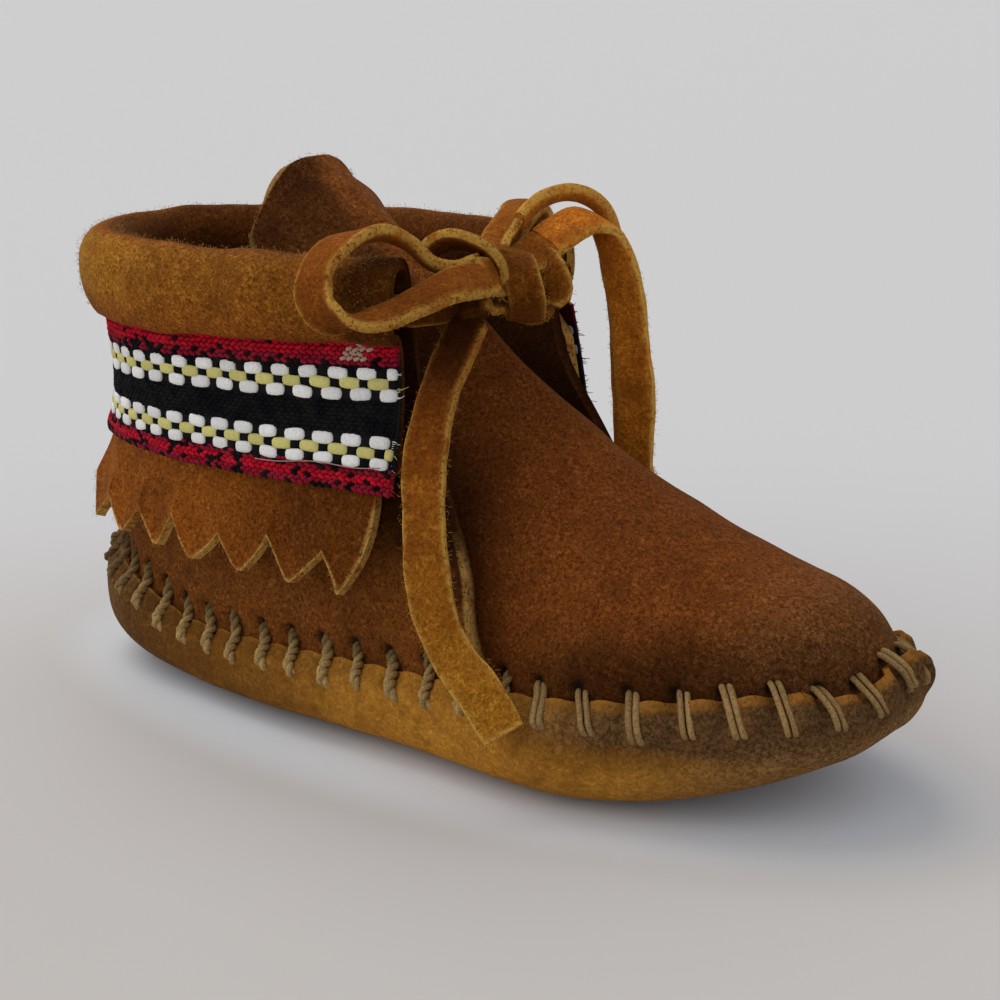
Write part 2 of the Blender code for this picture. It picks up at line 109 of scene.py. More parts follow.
def noise(tree, at, size, detail=3.0, rough=0.55, distortion=0.0):
    """Noise whose features are about a size across, in millimetres."""
    return add_node(tree, "ShaderNodeTexNoise", Vector=at, Scale=1.0 / (size * MM),
                    Detail=detail, Roughness=rough, Distortion=distortion).outputs["Fac"]


def between(tree, value, low, high):
    """A smooth step from 0 at the low value to 1 at the high one."""
    return add_node(tree, "ShaderNodeMapRange", interpolation_type="SMOOTHSTEP", Value=value,
                    From_Min=low, From_Max=high).outputs["Result"]


def times(tree, first, second, operation="MULTIPLY"):
    node = add_node(tree, "ShaderNodeMath", operation=operation)
    feed(tree, node.inputs[0], first)
    feed(tree, node.inputs[1], second)
    return node.outputs[0]


def new_finish(name, rough, gloss):
    """Material with its node tree, its shader's inputs and the object's own coordinates."""
    made = bpy.data.materials.new(name)
    made.use_nodes = True
    tree = made.node_tree
    shader = tree.nodes["Principled BSDF"].inputs
    shader["Roughness"].default_value = rough
    shader["Specular IOR Level"].default_value = gloss
    return made, tree, shader, tree.nodes.new("ShaderNodeTexCoord").outputs["Object"]


camera = bpy.data.objects.new("camera", bpy.data.cameras.new("camera"))
camera.data.lens = CAMERA_LENS
camera.data.clip_start, camera.data.clip_end = CAMERA_NEAR, CAMERA_FAR
aimed(camera, place(CAMERA_SPOT), np.subtract(CAMERA_SPOT, CAMERA_AIM))
bpy.context.scene.camera = camera
bpy.context.scene.view_settings.view_transform = "Standard"

for light_name, strength, spread, colour, source in LIGHTS:
    lamp = bpy.data.lights.new(light_name, "SUN")
    lamp.energy = strength
    lamp.angle = math.radians(spread)
    lamp.color = colour
    aimed(bpy.data.objects.new(light_name, lamp), source, source)

world = bpy.data.worlds.new("studio")
world.use_nodes = True
world.node_tree.nodes["Background"].inputs["Color"].default_value = SKY
world.node_tree.nodes["Background"].inputs["Strength"].default_value = SKY_STRENGTH
bpy.context.scene.world = world

# Painted light: the paper is painted brighter on its far side, where the light comes from
paper_finish, tree, shader, spot = new_finish("floor_paper", 0.9, 0.1)
x, y, _ = add_node(tree, "ShaderNodeSeparateXYZ", Vector=spot).outputs
depth = times(tree, times(tree, y, 0.8), times(tree, x, -0.6), "ADD")
depth = times(tree, depth, times(tree, noise(tree, spot, PAPER_BLOTCH), 0.05), "ADD")
sweep = mixed(tree, between(tree, depth, -0.10, 0.16), PAPER_NEAR, PAPER_FAR)
# Painted light: paler, bluer paper round the shoe lightens its cast shadow
reach = [times(tree, times(tree, part, 1.0 / half), 2.0, "POWER")
         for part, half in zip((x, y), PAINTED_LIGHT_REACH)]
under = between(tree, times(tree, *reach, "ADD"), 1.45, 0.55)
feed(tree, shader["Base Color"], mixed(tree, under, sweep, PAPER_PAINTED_LIGHT))
paper = bpy.data.meshes.new("floor")
corners = [(-1, -1), (1, -1), (1, 1), (-1, 1)]
paper.from_pydata([(x * FLOOR_SIZE / 2, y * FLOOR_SIZE / 2, 0) for x, y in corners],
                  [], [(0, 1, 2, 3)])
paper.materials.append(paper_finish)
floor = bpy.data.objects.new("floor", paper)
bpy.context.collection.objects.link(floor)


# ---- Thong: two bow loops, two ends, the knot and the stretch inside the roll ----
# A flat lace of soft suede, under 6 mm wide and 1.7 mm thick, with pale napped edges. It
# runs inside the collar's roll, crosses the throat and is tied there in a bow.
LACE_WIDE = 5.2
FAR_END_WIDE = 5.6
LACE_THICK = 1.7
LACE_STEP = 0.7
LACE_SIDES = 20
# How square the section's sides and faces are (1 is round), and how far it is cupped
LACE_SQUARE = (0.75, 0.45)
LACE_CUP = 0.22
# Routes through the middle of the lace, each from the knot outwards
LOOP_RIGHT = (
    (67.0, -8.0, 59.2), (65.7, -10.3, 58.7), (64.3, -12.7, 59.6), (63.2, -15.5, 62.0),
    (62.0, -18.9, 63.4), (60.4, -22.4, 62.9), (59.1, -25.3, 61.1), (59.3, -27.5, 58.3),
    (61.1, -28.3, 55.7), (63.9, -27.1, 54.5), (66.8, -24.3, 55.0), (68.8, -20.4, 56.5),
    (70.1, -15.7, 57.8), (70.4, -10.2, 58.0),
)
LOOP_LEFT = (
    (68.4, 4.6, 60.4), (69.2, 6.8, 61.6), (70.3, 9.9, 62.8), (71.2, 12.8, 61.8),
    (72.0, 14.4, 59.2), (72.5, 15.5, 55.5), (72.8, 16.7, 50.9), (72.9, 17.6, 45.6),
    (72.9, 18.8, 40.0), (72.9, 19.1, 35.7), (72.4, 19.6, 32.1), (71.8, 20.4, 29.7),
    (70.8, 22.1, 28.1), (69.4, 24.0, 28.6), (68.3, 25.0, 31.7), (67.3, 26.2, 37.6),
    (66.5, 26.6, 44.2), (66.9, 25.1, 50.5), (67.5, 22.6, 56.8), (67.6, 19.3, 62.2),
    (66.7, 16.3, 64.7), (65.4, 13.0, 65.5), (64.3, 9.4, 64.8), (64.1, 6.2, 63.3),
    (64.4, 3.8, 61.9),
)
END_RIGHT = (
    (69.5, -12.1, 53.0), (69.5, -14.2, 50.5), (69.5, -16.5, 47.5), (69.7, -18.6, 44.7),
    (70.3, -21.0, 40.8), (71.0, -22.7, 37.1), (73.0, -25.2, 31.0), (74.0, -25.9, 26.0),
    (75.5, -26.3, 21.5), (78.5, -26.7, 17.5), (82.0, -26.9, 14.5), (85.5, -27.1, 10.5),
)
END_LEFT = (
    (61.9, 2.4, 57.7), (59.9, 8.2, 60.9), (57.3, 14.8, 62.6), (54.3, 20.4, 62.5),
    (52.0, 25.4, 60.6), (50.9, 28.2, 55.5), (50.7, 28.6, 48.5), (50.8, 28.8, 40.5),
)
# The lace's widthwise direction at shares of each route
BOW_SIDE = (0.57, -0.78, 0.26)
ACROSS_LOOP_RIGHT = (
    (0.28, BOW_SIDE), (0.38, (0.94, -0.34, -0.09)), (0.50, (0.99, 0.05, 0.15)),
    (0.60, (0.95, -0.11, 0.28)), (0.68, (0.79, -0.57, -0.21)), (0.76, (0.55, -0.75, -0.37)),
)
ACROSS_LOOP_LEFT = (
    (0.00, (0.80, -0.17, -0.46)), (0.08, (0.86, -0.10, -0.35)), (0.16, (0.97, 0.05, -0.05)),
    (0.22, (0.97, 0.11, 0.13)), (0.70, (0.97, 0.11, 0.13)), (0.80, BOW_SIDE),
)
ACROSS_END_RIGHT = ((0.00, (0.98, 0.15, 0.14)), (0.50, (0.92, 0.34, 0.14)),
                    (1.00, (0.80, 0.59, 0.00)))
ACROSS_END_LEFT = ((0.00, (0.95, 0.30, 0.00)), (1.00, (1.00, 0.00, 0.00)))
# The knot's ribbons: width (at both ends where it differs), thickness, darkness as painted
# shade, route, and the widthwise direction (one, or several at shares of the route)
KNOT_RIBBONS = (
    (4.6, 1.6, 0.45, (
        (66.2, -0.7, 59.6), (69.1, -3.1, 59.3), (71.3, -4.6, 57.7), (72.1, -4.6, 55.8),
        (71.4, -3.3, 53.8), (69.4, -0.8, 52.3), (66.4, 2.3, 52.8), (63.9, 3.9, 55.1),
        (63.9, 2.2, 57.9), (66.2, -0.7, 59.6), (69.1, -3.1, 59.3),
    ), ((0.0, (0.87, 0.41, -0.28)), (0.3, (0.78, 0.61, 0.10)), (1.0, (0.87, 0.41, -0.28)))),
    (4.8, 1.6, 0.30, (
        (61.9, -11.0, 59.6), (62.8, -10.4, 61.1), (64.6, -9.4, 62.0), (66.5, -8.1, 61.6),
        (68.1, -6.7, 60.5), (68.9, -5.4, 58.7), (68.9, -4.3, 56.3),
    ), ((0.0, (0.36, -0.82, 0.45)), (1.0, (0.50, -0.75, 0.40)))),
    ((5.6, 4.4), 1.5, 0.8, (
        (69.5, -12.1, 53.0), (68.4, -10.9, 54.5), (67.6, -9.0, 54.9), (67.6, -5.5, 54.6),
        (67.4, -1.0, 54.3),
    ), ((0.0, (0.99, 0.01, 0.16)), (0.5, (0.57, -0.78, -0.26)))),
    ((5.0, 4.2), 1.6, 0.35, (
        (67.7, 2.6, 58.2), (69.8, 2.0, 57.9), (71.2, 1.8, 56.6), (71.6, 1.9, 55.0),
        (71.0, 1.4, 53.6), (69.6, 0.6, 52.9), (67.2, 0.0, 53.0),
    ), ((0.0, (0.82, 0.46, 0.35)), (0.5, (0.66, 0.30, 0.66)), (1.0, (0.55, -0.20, 0.80)))),
    (5.2, 1.5, 0.1, ((67.9, -1.8, 58.0), (68.3, 1.4, 59.0), (68.4, 4.6, 60.4)),
     (0.80, -0.17, -0.46)),
    (5.2, 1.5, 0.15, ((65.3, -0.5, 58.3), (64.4, 1.8, 59.9), (64.4, 3.8, 61.9)), BOW_SIDE),
    (5.2, 1.5, 0.3, ((66.4, -3.0, 57.8), (66.6, -5.5, 58.6), (67.0, -8.0, 59.2)), BOW_SIDE),
    ((4.0, 5.2), 1.5, 0.1, ((66.9, -1.5, 56.5), (69.0, -6.0, 57.4), (70.4, -10.2, 58.0)),
     ((0.0, (0.30, -0.50, -0.80)), (1.0, (0.55, -0.75, -0.37)))),
    (6.0, 4.4, 0.9, ((66.4, -5.0, 56.0), (67.9, -0.5, 55.8), (68.6, 3.2, 55.6)),
     (0.30, 0.0, 0.95)),
)
# Each suede's deep tone, main tone, tone of wear and painted light, and cut edge
SUEDE_TONES = {
    "lace_suede": ((0.18, 0.045, 0.004), (0.30, 0.080, 0.007), (0.34, 0.145, 0.012),
                   (0.52, 0.29, 0.055)),
    # A lit copy of the lace's tones: painted light for the far bow loop, which lies in shade
    "lace_painted_light": ((0.37, 0.104, 0.011), (0.60, 0.180, 0.015), (0.60, 0.235, 0.020),
                    (0.60, 0.33, 0.06)),
    "sole_suede": ((0.17, 0.065, 0.010), (0.27, 0.110, 0.015), (0.46, 0.200, 0.024),
                   (0.30, 0.120, 0.022)),
    "upper_suede": ((0.11, 0.033, 0.006), (0.178, 0.054, 0.008), (0.165, 0.041, 0.006),
                    (0.50, 0.28, 0.07)),
    "tongue_suede": ((0.058, 0.017, 0.004), (0.100, 0.031, 0.006), (0.20, 0.058, 0.010),
                     (0.50, 0.28, 0.07)),
    "cuff_suede": ((0.172, 0.047, 0.006), (0.285, 0.079, 0.008), (0.34, 0.150, 0.014),
                   (0.55, 0.31, 0.075)),
    "insole_leather": ((0.10, 0.040, 0.012), (0.17, 0.075, 0.024), (0.08, 0.04, 0.015),
                       (0.35, 0.20, 0.06)),
}
PATCH_SIZE = 14.0
BLOTCH_SIZE = 6.0
MOTTLE_SIZE = 2.6
FLECK_SIZE = 0.42
NAP_RELIEF = 0.35
GRIME_DEEP = (0.148, 0.073, 0.025)
GRIME_PALE = (0.265, 0.139, 0.051)
HOLE_SHADE_TONE = (0.012, 0.006, 0.004)
# What the colour is multiplied by in stains, pits and tips of the nap, and under the dark
# mark: painted shade, and in places the leather's own darker tone
STAIN = (0.70, 0.63, 0.60)
NAP_PIT = (0.42, 0.36, 0.34)
NAP_TIP = (1.9, 2.3, 3.0)
DARK_AND_SHADE = (0.16, 0.13, 0.14)


def mark(tree, name):
    return add_node(tree, "ShaderNodeAttribute", attribute_name=name).outputs["Fac"]


def embossed(tree, shader, height, strength, depth):
    bump = add_node(tree, "ShaderNodeBump", Strength=strength, Distance=depth * MM,
                    Height=height)
    feed(tree, shader["Normal"], bump.outputs["Normal"])


def suede(name, grain=1.0, fleck_size=FLECK_SIZE):
    """Napped suede; the mesh marks cut edges, wear and painted light, grime, dark tone and painted
    shade, and stitch holes.
    """
    deep, main, wear_and_light, cut = SUEDE_TONES[name]
    made, tree, shader, at = new_finish(name, 0.95, 0.05)
    patches = noise(tree, at, PATCH_SIZE, 3.0, 0.6)
    mottle = noise(tree, at, MOTTLE_SIZE, 5.0, 0.62, 0.6)
    fine = noise(tree, at, fleck_size, 2.0, 0.6, 0.9)
    blotch = noise(tree, at, BLOTCH_SIZE, 4.0, 0.65, 0.8)
    base = mixed(tree, between(tree, patches, 0.32, 0.68), deep, main)
    base = mixed(tree, times(tree, between(tree, mottle, 0.40, 0.68), 0.8), base, main)
    # Real wear, and painted light on the cuff's roll, the sole's side and the far bow loop
    rubbed = times(tree, mark(tree, "wear_and_light"), between(tree, mottle, 0.15, 0.55))
    base = mixed(tree, rubbed, base, wear_and_light)
    dirt = times(tree, mark(tree, "grime"), between(tree, mottle, 0.14, 0.46))
    grime_tone = mixed(tree, between(tree, fine, 0.40, 0.66), GRIME_DEEP, GRIME_PALE)
    base = mixed(tree, dirt, base, grime_tone)
    stained = times(tree, between(tree, blotch, 0.42, 0.62), 0.42 * min(grain + 0.3, 1.0))
    base = mixed(tree, stained, base, STAIN, "MULTIPLY")
    # the nap lies in tufts, so pale tips stand beside dark pits
    pits = times(tree, between(tree, fine, 0.50, 0.36), 0.75 * grain)
    base = mixed(tree, pits, base, NAP_PIT, "MULTIPLY")
    tips = times(tree, between(tree, fine, 0.52, 0.66), between(tree, mottle, 0.25, 0.62))
    tips = times(tree, tips, times(tree, times(tree, dirt, -0.55 * grain), 0.7 * grain, "ADD"))
    base = mixed(tree, tips, base, NAP_TIP, "MULTIPLY")
    # The dark mark: painted shade, and in places the leather's own darker tone
    base = mixed(tree, mark(tree, "dark"), base, DARK_AND_SHADE, "MULTIPLY")
    pale = times(tree, mark(tree, "edge"), between(tree, fine, 0.26, 0.54))
    base = mixed(tree, pale, base, mixed(tree, between(tree, mottle, 0.28, 0.54), main, cut))
    # Stitch holes are painted near-black as shade
    feed(tree, shader["Base Color"], mixed(tree, mark(tree, "hole"), base, HOLE_SHADE_TONE))
    embossed(tree, shader, times(tree, times(tree, fine, 0.6), times(tree, mottle, 0.9), "ADD"),
             0.9, NAP_RELIEF)
    shader["Sheen Weight"].default_value = 0.08
    shader["Sheen Roughness"].default_value = 0.5
    feed(tree, shader["Sheen Tint"], cut)
    return made


def lengths_along(line):
    """Distance of each point of a line from its start, measured along it."""
    return np.concatenate([[0], np.cumsum(np.linalg.norm(np.diff(line, axis=0), axis=1))])


def looked_up(at, places, table):
    """Rows of a table read at any place between those given."""
    table = np.asarray(table)
    return np.stack([np.interp(at, places, column) for column in table.T], -1)


def resampled(points, step):
    """Evenly spaced points on a smooth curve through a few given points."""
    points = np.asarray(points, float)
    knots = np.vstack([2 * points[0] - points[1], points, 2 * points[-1] - points[-2]])
    a, b, c, d = (k[:, None, :] for k in (knots[:-3], knots[1:-2], knots[2:-1], knots[3:]))
    u = np.linspace(0, 1, 24, endpoint=False)[None, :, None]
    fine = 0.5 * (2 * b + (c - a) * u + (2 * a - 5 * b + 4 * c - d) * u**2
                  + (3 * b - a - 3 * c + d) * u**3)
    fine = np.vstack([fine.reshape(-1, points.shape[1]), points[-1:]])
    gone = lengths_along(fine)
    return looked_up(np.linspace(0, gone[-1], max(round(gone[-1] / step), 2) + 1), gone, fine)


def unit(vectors):
    return vectors / np.maximum(np.linalg.norm(vectors, axis=-1, keepdims=True), 1e-9)


def quads(rows, columns, wrap_rows=False, wrap_columns=False):
    """Corner numbers of the squares of a grid, which may close on itself."""
    i = np.arange(rows if wrap_rows else rows - 1)[:, None]
    j = np.arange(columns if wrap_columns else columns - 1)[None, :]
    n, m = (i + 1) % rows, (j + 1) % columns
    return np.stack(np.broadcast_arrays(i * columns + j, n * columns + j,
                                        n * columns + m, i * columns + m), -1).reshape(-1, 4)


def signed_volume(points, corners):
    a, b, c = (points[[f[k] for f in corners]] for k in range(3))
    return np.einsum("ij,ij->i", a, np.cross(b, c)).sum()


def solid(name, points, faces, finish, marks=(), crisp=55.0):
    """Mesh object from points in millimetres, with its faces turned outwards."""
    data = bpy.data.meshes.new(name)
    faces = [tuple(dict.fromkeys(int(c) for c in face)) for face in faces]
    faces = [face for face in faces if len(face) > 2]
    data.from_pydata(place(points).tolist(), [], faces)
    if (signed_volume(points, [f[:3] for f in faces])
            + signed_volume(points, [(f[0], f[2], f[3]) for f in faces if len(f) > 3])) < 0:
        data.flip_normals()
    for key, values in dict(marks).items():
        layer = data.attributes.new(key, "FLOAT", "POINT")
        layer.data.foreach_set("value", np.clip(np.ravel(values), 0, 1).astype(np.float32))
    data.materials.append(finish)
    data.shade_smooth()
    data.set_sharp_from_angle(angle=math.radians(crisp))
    made = bpy.data.objects.new(name, data)
    bpy.context.collection.objects.link(made)
    return made


def ribbon_parts(route, across, wide, thick=LACE_THICK, dark=((0, 0.0),), wear_and_light_at=((0, 0.15),),
                 cut_end=0.0):
    """Points, faces and marks of a flat lace that follows a route, and its centreline.

    Its width may differ at the two ends. Painted shade, and wear with painted light, are given at
    shares of the route.
    """
    path = resampled(route, LACE_STEP)
    along = unit(np.gradient(path, axis=0))
    share = np.linspace(0, 1, len(path))
    across = across if isinstance(across[0], tuple) else ((0.0, across),)
    wish = looked_up(share, *zip(*across))
    side = unit(wish - along * np.sum(wish * along, axis=1, keepdims=True))
    face = np.cross(along, side)
    turn = np.radians(np.arange(LACE_SIDES) * 360 / LACE_SIDES)
    flat, deep = (np.sign(wave) * np.abs(wave) ** square
                  for wave, square in zip((np.cos(turn), np.sin(turn)), LACE_SQUARE))
    # a hand-cut lace is slightly wavy in width, and cupped
    step = share * len(path)
    wobble = 1 + 0.04 * np.sin(step * 0.31) + 0.015 * np.sin(step * 0.9)
    width = np.interp(share, (0, 1), np.broadcast_to(wide, 2)) / 2 * wobble
    cup = LACE_CUP * (flat**2 - 0.4)
    points = (path[:, None] + side[:, None] * (flat[None, :] * width[:, None])[..., None]
              + face[:, None] * (deep * thick / 2 + cup)[None, :, None])
    count, sides = len(path), LACE_SIDES
    faces = [tuple(q) for q in quads(count, sides, wrap_columns=True)]
    faces += [tuple(range(sides)), tuple(range((count - 1) * sides, count * sides))[::-1]]
    edge = np.clip((np.abs(flat) - 0.82) / 0.12, 0, 1)[None, :] * np.ones((count, 1))
    edge[0], edge[-1] = 0.0, np.maximum(edge[-1], cut_end)
    # Painted shade along the route darkens the lace and dims its pale edges
    shade = np.interp(share, *zip(*dark))[:, None]
    marks = {"edge": (edge * (1 - 0.6 * shade)).ravel(),
             "dark": (shade * (1 - 0.7 * edge)).ravel(),
             "wear_and_light": np.repeat(np.interp(share, *zip(*wear_and_light_at)), sides)}
    return points.reshape(-1, 3), faces, marks, path


def own_piece(made, node):
    """Fixes a piece to the shoe's body and hides the CAD part that it stands for."""
    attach(made, "root")
    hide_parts(node)
    return made


lace_finish = suede("lace_suede", 0.75)
# The lace's lit copy, painted light
lace_painted_light_finish = suede("lace_painted_light", 0.75)
lace_points = []


def lace(side, route, across, far_end, dark=((0, 0.0),), wear_and_light_at=((0, 0.15),), wide=LACE_WIDE,
         finish=lace_finish):
    """One free stretch of the thong, declared with its own length."""
    points, faces, marks, path = ribbon_parts(route, across, wide, LACE_THICK, dark, wear_and_light_at,
                                              1.0 if far_end == "bare" else 0.0)
    lace_points.append(points)
    # One free stretch of the thong.
    made = own_piece(solid("thong_" + side, points, faces, finish, marks), "lace_" + side)
    tuple(place(route[0]))
    float(lengths_along(path)[-1]) * MM
    place(path).tolist()


# Each with its painted shade, and its wear and painted light, at shares of the route
lace("loop_right", LOOP_RIGHT, ACROSS_LOOP_RIGHT, "object",
     ((0, 0.1), (0.30, 0.1), (0.45, 0.38), (0.62, 0.30), (0.76, 0.42), (1, 0.25)), ((0, 0.0),))
# The far bow loop lies in shade, so it carries the lace's lit copy as painted light
lace("loop_left", LOOP_LEFT, ACROSS_LOOP_LEFT, "object", ((0, 0.0),),
     ((0, 0.0), (0.12, 0.0), (0.2, 0.2)), finish=lace_painted_light_finish)
lace("end_right", END_RIGHT, ACROSS_END_RIGHT, "bare",
     ((0, 1.0), (0.12, 0.95), (0.28, 0.42), (0.45, 0.0)), ((0.3, 0.0), (1, 0.9)))
lace("end_left", END_LEFT, ACROSS_END_LEFT, "bare", wide=FAR_END_WIDE)


def joined(name, parts, finish):
    """One mesh object out of several lists of points, faces and marks."""
    starts = np.cumsum([0] + [len(part[0]) for part in parts])
    faces = [tuple(int(c) + start for c in face)
             for part, start in zip(parts, starts) for face in part[1]]
    marks = {key: np.concatenate([part[2][key] for part in parts]) for key in parts[0][2]}
    return solid(name, np.vstack([part[0] for part in parts]), faces, finish, marks)


def grown(name, start, tree, values):
    """Plain mesh object out of a node tree that works on a starting mesh."""
    source = bpy.data.objects.new(name + "_start", start)
    bpy.context.collection.objects.link(source)
    modifier = source.modifiers.new("grow", "NODES")
    modifier.node_group = tree
    for item in tree.interface.items_tree:
        if item.in_out == "INPUT" and item.name in values:
            modifier[item.identifier] = values[item.name]
    ready = source.evaluated_get(bpy.context.evaluated_depsgraph_get())
    data = bpy.data.meshes.new_from_object(ready)
    data.name = name
    bpy.data.objects.remove(source)
    made = bpy.data.objects.new(name, data)
    bpy.context.collection.objects.link(made)
    return made


def start_mesh(name, points, edges=(), **values):
    """Loose points and edges in metres, with named values on the points."""
    data = bpy.data.meshes.new(name)
    data.from_pydata(np.asarray(points).tolist(), edges, [])
    kinds = {1: ("FLOAT", "value"), 3: ("FLOAT_VECTOR", "vector"), 4: ("FLOAT_COLOR", "color")}
    for key, value in values.items():
        value = np.asarray(value, np.float32).reshape(len(points), -1)
        kind, field = kinds[value.shape[1]]
        data.attributes.new(key, kind, "POINT").data.foreach_set(field, value.ravel())
    return data


def new_tree(name, count):
    """Geometry tree that takes a mesh, a material and a whole number named by count."""
    tree = bpy.data.node_groups.new(name, "GeometryNodeTree")
    for label, kind in (("Geometry", "Geometry"), ("Finish", "Material"), (count, "Int")):
        tree.interface.new_socket(label, in_out="INPUT", socket_type="NodeSocket" + kind)
    tree.interface.new_socket("Geometry", in_out="OUTPUT", socket_type="NodeSocketGeometry")
    return tree, tree.nodes.new("NodeGroupInput").outputs


def stored(tree, name, kind="FLOAT_VECTOR"):
    """Named value of the points that a tree works on."""
    node = add_node(tree, "GeometryNodeInputNamedAttribute", data_type=kind, Name=name)
    return node.outputs["Attribute"]


def finished(tree, geometry, finish):
    """Ends a tree: smooth, plain and with its material."""
    smooth = add_node(tree, "GeometryNodeSetShadeSmooth", Geometry=geometry)
    plain = add_node(tree, "GeometryNodeRealizeInstances", Geometry=smooth.outputs[0])
    painted = add_node(tree, "GeometryNodeSetMaterial", Geometry=plain.outputs[0],
                       Material=finish)
    tree.links.new(painted.outputs[0], tree.nodes.new("NodeGroupOutput").inputs[0])


# Tree of thin strands that follow edges; each point gives its own radius
strand_tree, given = new_tree("strands", "Sides")
thick = stored(strand_tree, "thick", "FLOAT")
lines = add_node(strand_tree, "GeometryNodeMeshToCurve", Mesh=given["Geometry"])
lines = add_node(strand_tree, "GeometryNodeSetCurveRadius", Curve=lines.outputs[0], Radius=thick)
section = add_node(strand_tree, "GeometryNodeCurvePrimitiveCircle", Resolution=given["Sides"],
                   Radius=1.0)
tubes = add_node(strand_tree, "GeometryNodeCurveToMesh", Curve=lines.outputs[0],
                 Profile_Curve=section.outputs[0], Fill_Caps=True, Scale=thick)
finished(strand_tree, tubes.outputs[0], given["Finish"])

# Loose fibres of the nap: how many to a millimetre of edge, length, radius, shares of it at
# root, middle and tip, how far the roots stray, and how much the fibres lean and curl
FIBRES_EACH_MM = 6.0
FIBRE_LENGTH = 0.27
FIBRE_RADIUS = 0.032
FIBRE_TAPER = (1.0, 0.8, 0.35)
FIBRE_STRAY = 0.22
FIBRE_LEAN = 0.65
FIBRE_CURL = 0.45
chance = np.random.default_rng(3)


def spread(line, away, each_mm=FIBRES_EACH_MM):
    """Random spots on a line, and the direction that the fibres stand in at each."""
    gone = lengths_along(line)
    at = chance.uniform(0, gone[-1], int(gone[-1] * each_mm))
    return [looked_up(at, gone, table) for table in (line, away)]


def napped(name, tufts, finish, node, longest=FIBRE_LENGTH):
    """One piece of loose fibres from several lists of spots and directions."""
    roots, away = (np.concatenate([tuft[k] for tuft in tufts]) for k in (0, 1))
    count = len(roots)
    roots = roots + chance.normal(0, FIBRE_STRAY, (count, 3))
    long = longest * chance.uniform(0.35, 1.25, count)[:, None, None]
    lean = unit(away + chance.normal(0, FIBRE_LEAN, (count, 3)))[:, None]
    curl = chance.normal(0, FIBRE_CURL, (count, 3))[:, None]
    share = np.array([-0.2, 0.5, 1.0])[None, :, None]
    points = (roots[:, None] + long * (lean * share + curl * share**2)).reshape(-1, 3)
    first = np.arange(count) * 3
    edges = np.concatenate([np.stack([first + k, first + k + 1], -1) for k in (0, 1)]).tolist()
    thick = np.tile(np.array(FIBRE_TAPER) * FIBRE_RADIUS * MM, count)
    lines = start_mesh(name + "_lines", place(points), edges, thick=thick,
                       edge=np.ones(len(points)))
    made = grown(name, lines, strand_tree, {"Finish": finish, "Sides": 3})
    return own_piece(made, node)


knot_parts = [ribbon_parts(route, across, wide, thick, ((0, dark),))
              for wide, thick, dark, route, across in KNOT_RIBBONS]
own_piece(joined("thong_knot", knot_parts, lace_finish), "lace_knot")
tufts = []
for points in lace_points + [part[0] for part in knot_parts[:-1]]:
    rings = points.reshape(-1, LACE_SIDES, 3)
    for side in (0, LACE_SIDES // 2):
        tufts.append(spread(rings[:, side], unit(rings[:, side] - rings.mean(axis=1))))
napped("thong_nap", tufts, lace_finish, "lace_knot")


# ---- Sole ----
# One piece of tan suede, flat under the foot and turned up all round like a pan. Its edge is
# gathered between the whip stitches, most at the toe, and it is grey with wear there.
LENGTH = 122.0
SOLE_WALL = 1.6
SEWN_FIT = 0.6
TOE_SPRING = 7.7
TOE_SPRING_FROM = 0.72
HEEL_LIFT = 2.0
HEEL_LIFT_TO = 0.12
# Angles run from the heel, 0, to the toe, 180; the sole's side is read at shares of its height
OUTLINE = (
    ("angle", "half_width", "edge_height"),
    (0, 35.0, 18.0), (45, 27.5, 13.0), (60, 25.2, 10.8), (90, 23.1, 12.0), (120, 27.9, 14.6),
    (150, 28.7, 17.6), (180, 30.2, 20.2),
)
SOLE_SIDE = (
    ("up", "inset"),
    (0.00, 9.0), (0.12, 4.2), (0.28, 1.6), (0.50, 0.3), (0.68, 0.0), (1.00, 0.9),
)
SEAM_INSET = SOLE_WALL + SEWN_FIT
# The edge dips beside the toe's tip: how deep, at which angle, and how wide
TOE_DIP = 1.9
TOE_DIP_AT = 163.0
TOE_DIP_WIDE = 9.0
# Spacing of the whip stitches, and how far the sole's edge bulges between them
STITCHING = (
    ("angle", "pitch", "gather"),
    (0, 4.8, 0.35), (60, 5.1, 0.25), (95, 5.4, 0.28), (125, 5.5, 0.45), (155, 5.4, 0.95),
    (180, 4.2, 1.10),
)
SOLE_COLUMNS = 720
SOLE_ROWS = 34
# Rows of the flat bottom, as shares of the way out from the middle line
BOTTOM_SHARES = (0.0, 0.25, 0.5, 0.72, 0.88)
# From this share of its height up, the sole's edge curls in and is skived thin
EDGE_FROM = 0.80
EDGE_CURL = 1.45
EDGE_SKIVE = 0.6
# The thread pulls the edge in by a depth that grows round the toe, over a width
PULL_DEEP = 0.45
PULL_DEEP_TOE = 0.25
PULL_WIDE = 0.95
# Between the stitches of the toe a lip stands out: how far, and its share of the height
LIP_OUT = 0.75
LIP_AT = 0.93
# How far each stitch reaches down the sole, and how far it leans along the seam
STITCH_LIE = (
    ("angle", "drop", "slant"),
    (0, 2.4, 2.2), (60, 2.5, 3.4), (110, 2.8, 3.2), (135, 3.9, 2.4), (150, 3.7, 1.8),
    (180, 3.4, 0.8),
)
LEAN_AT_HOLE = 0.50
LEAN_AT_RIM = 0.05
LEAN_LOW = -0.60


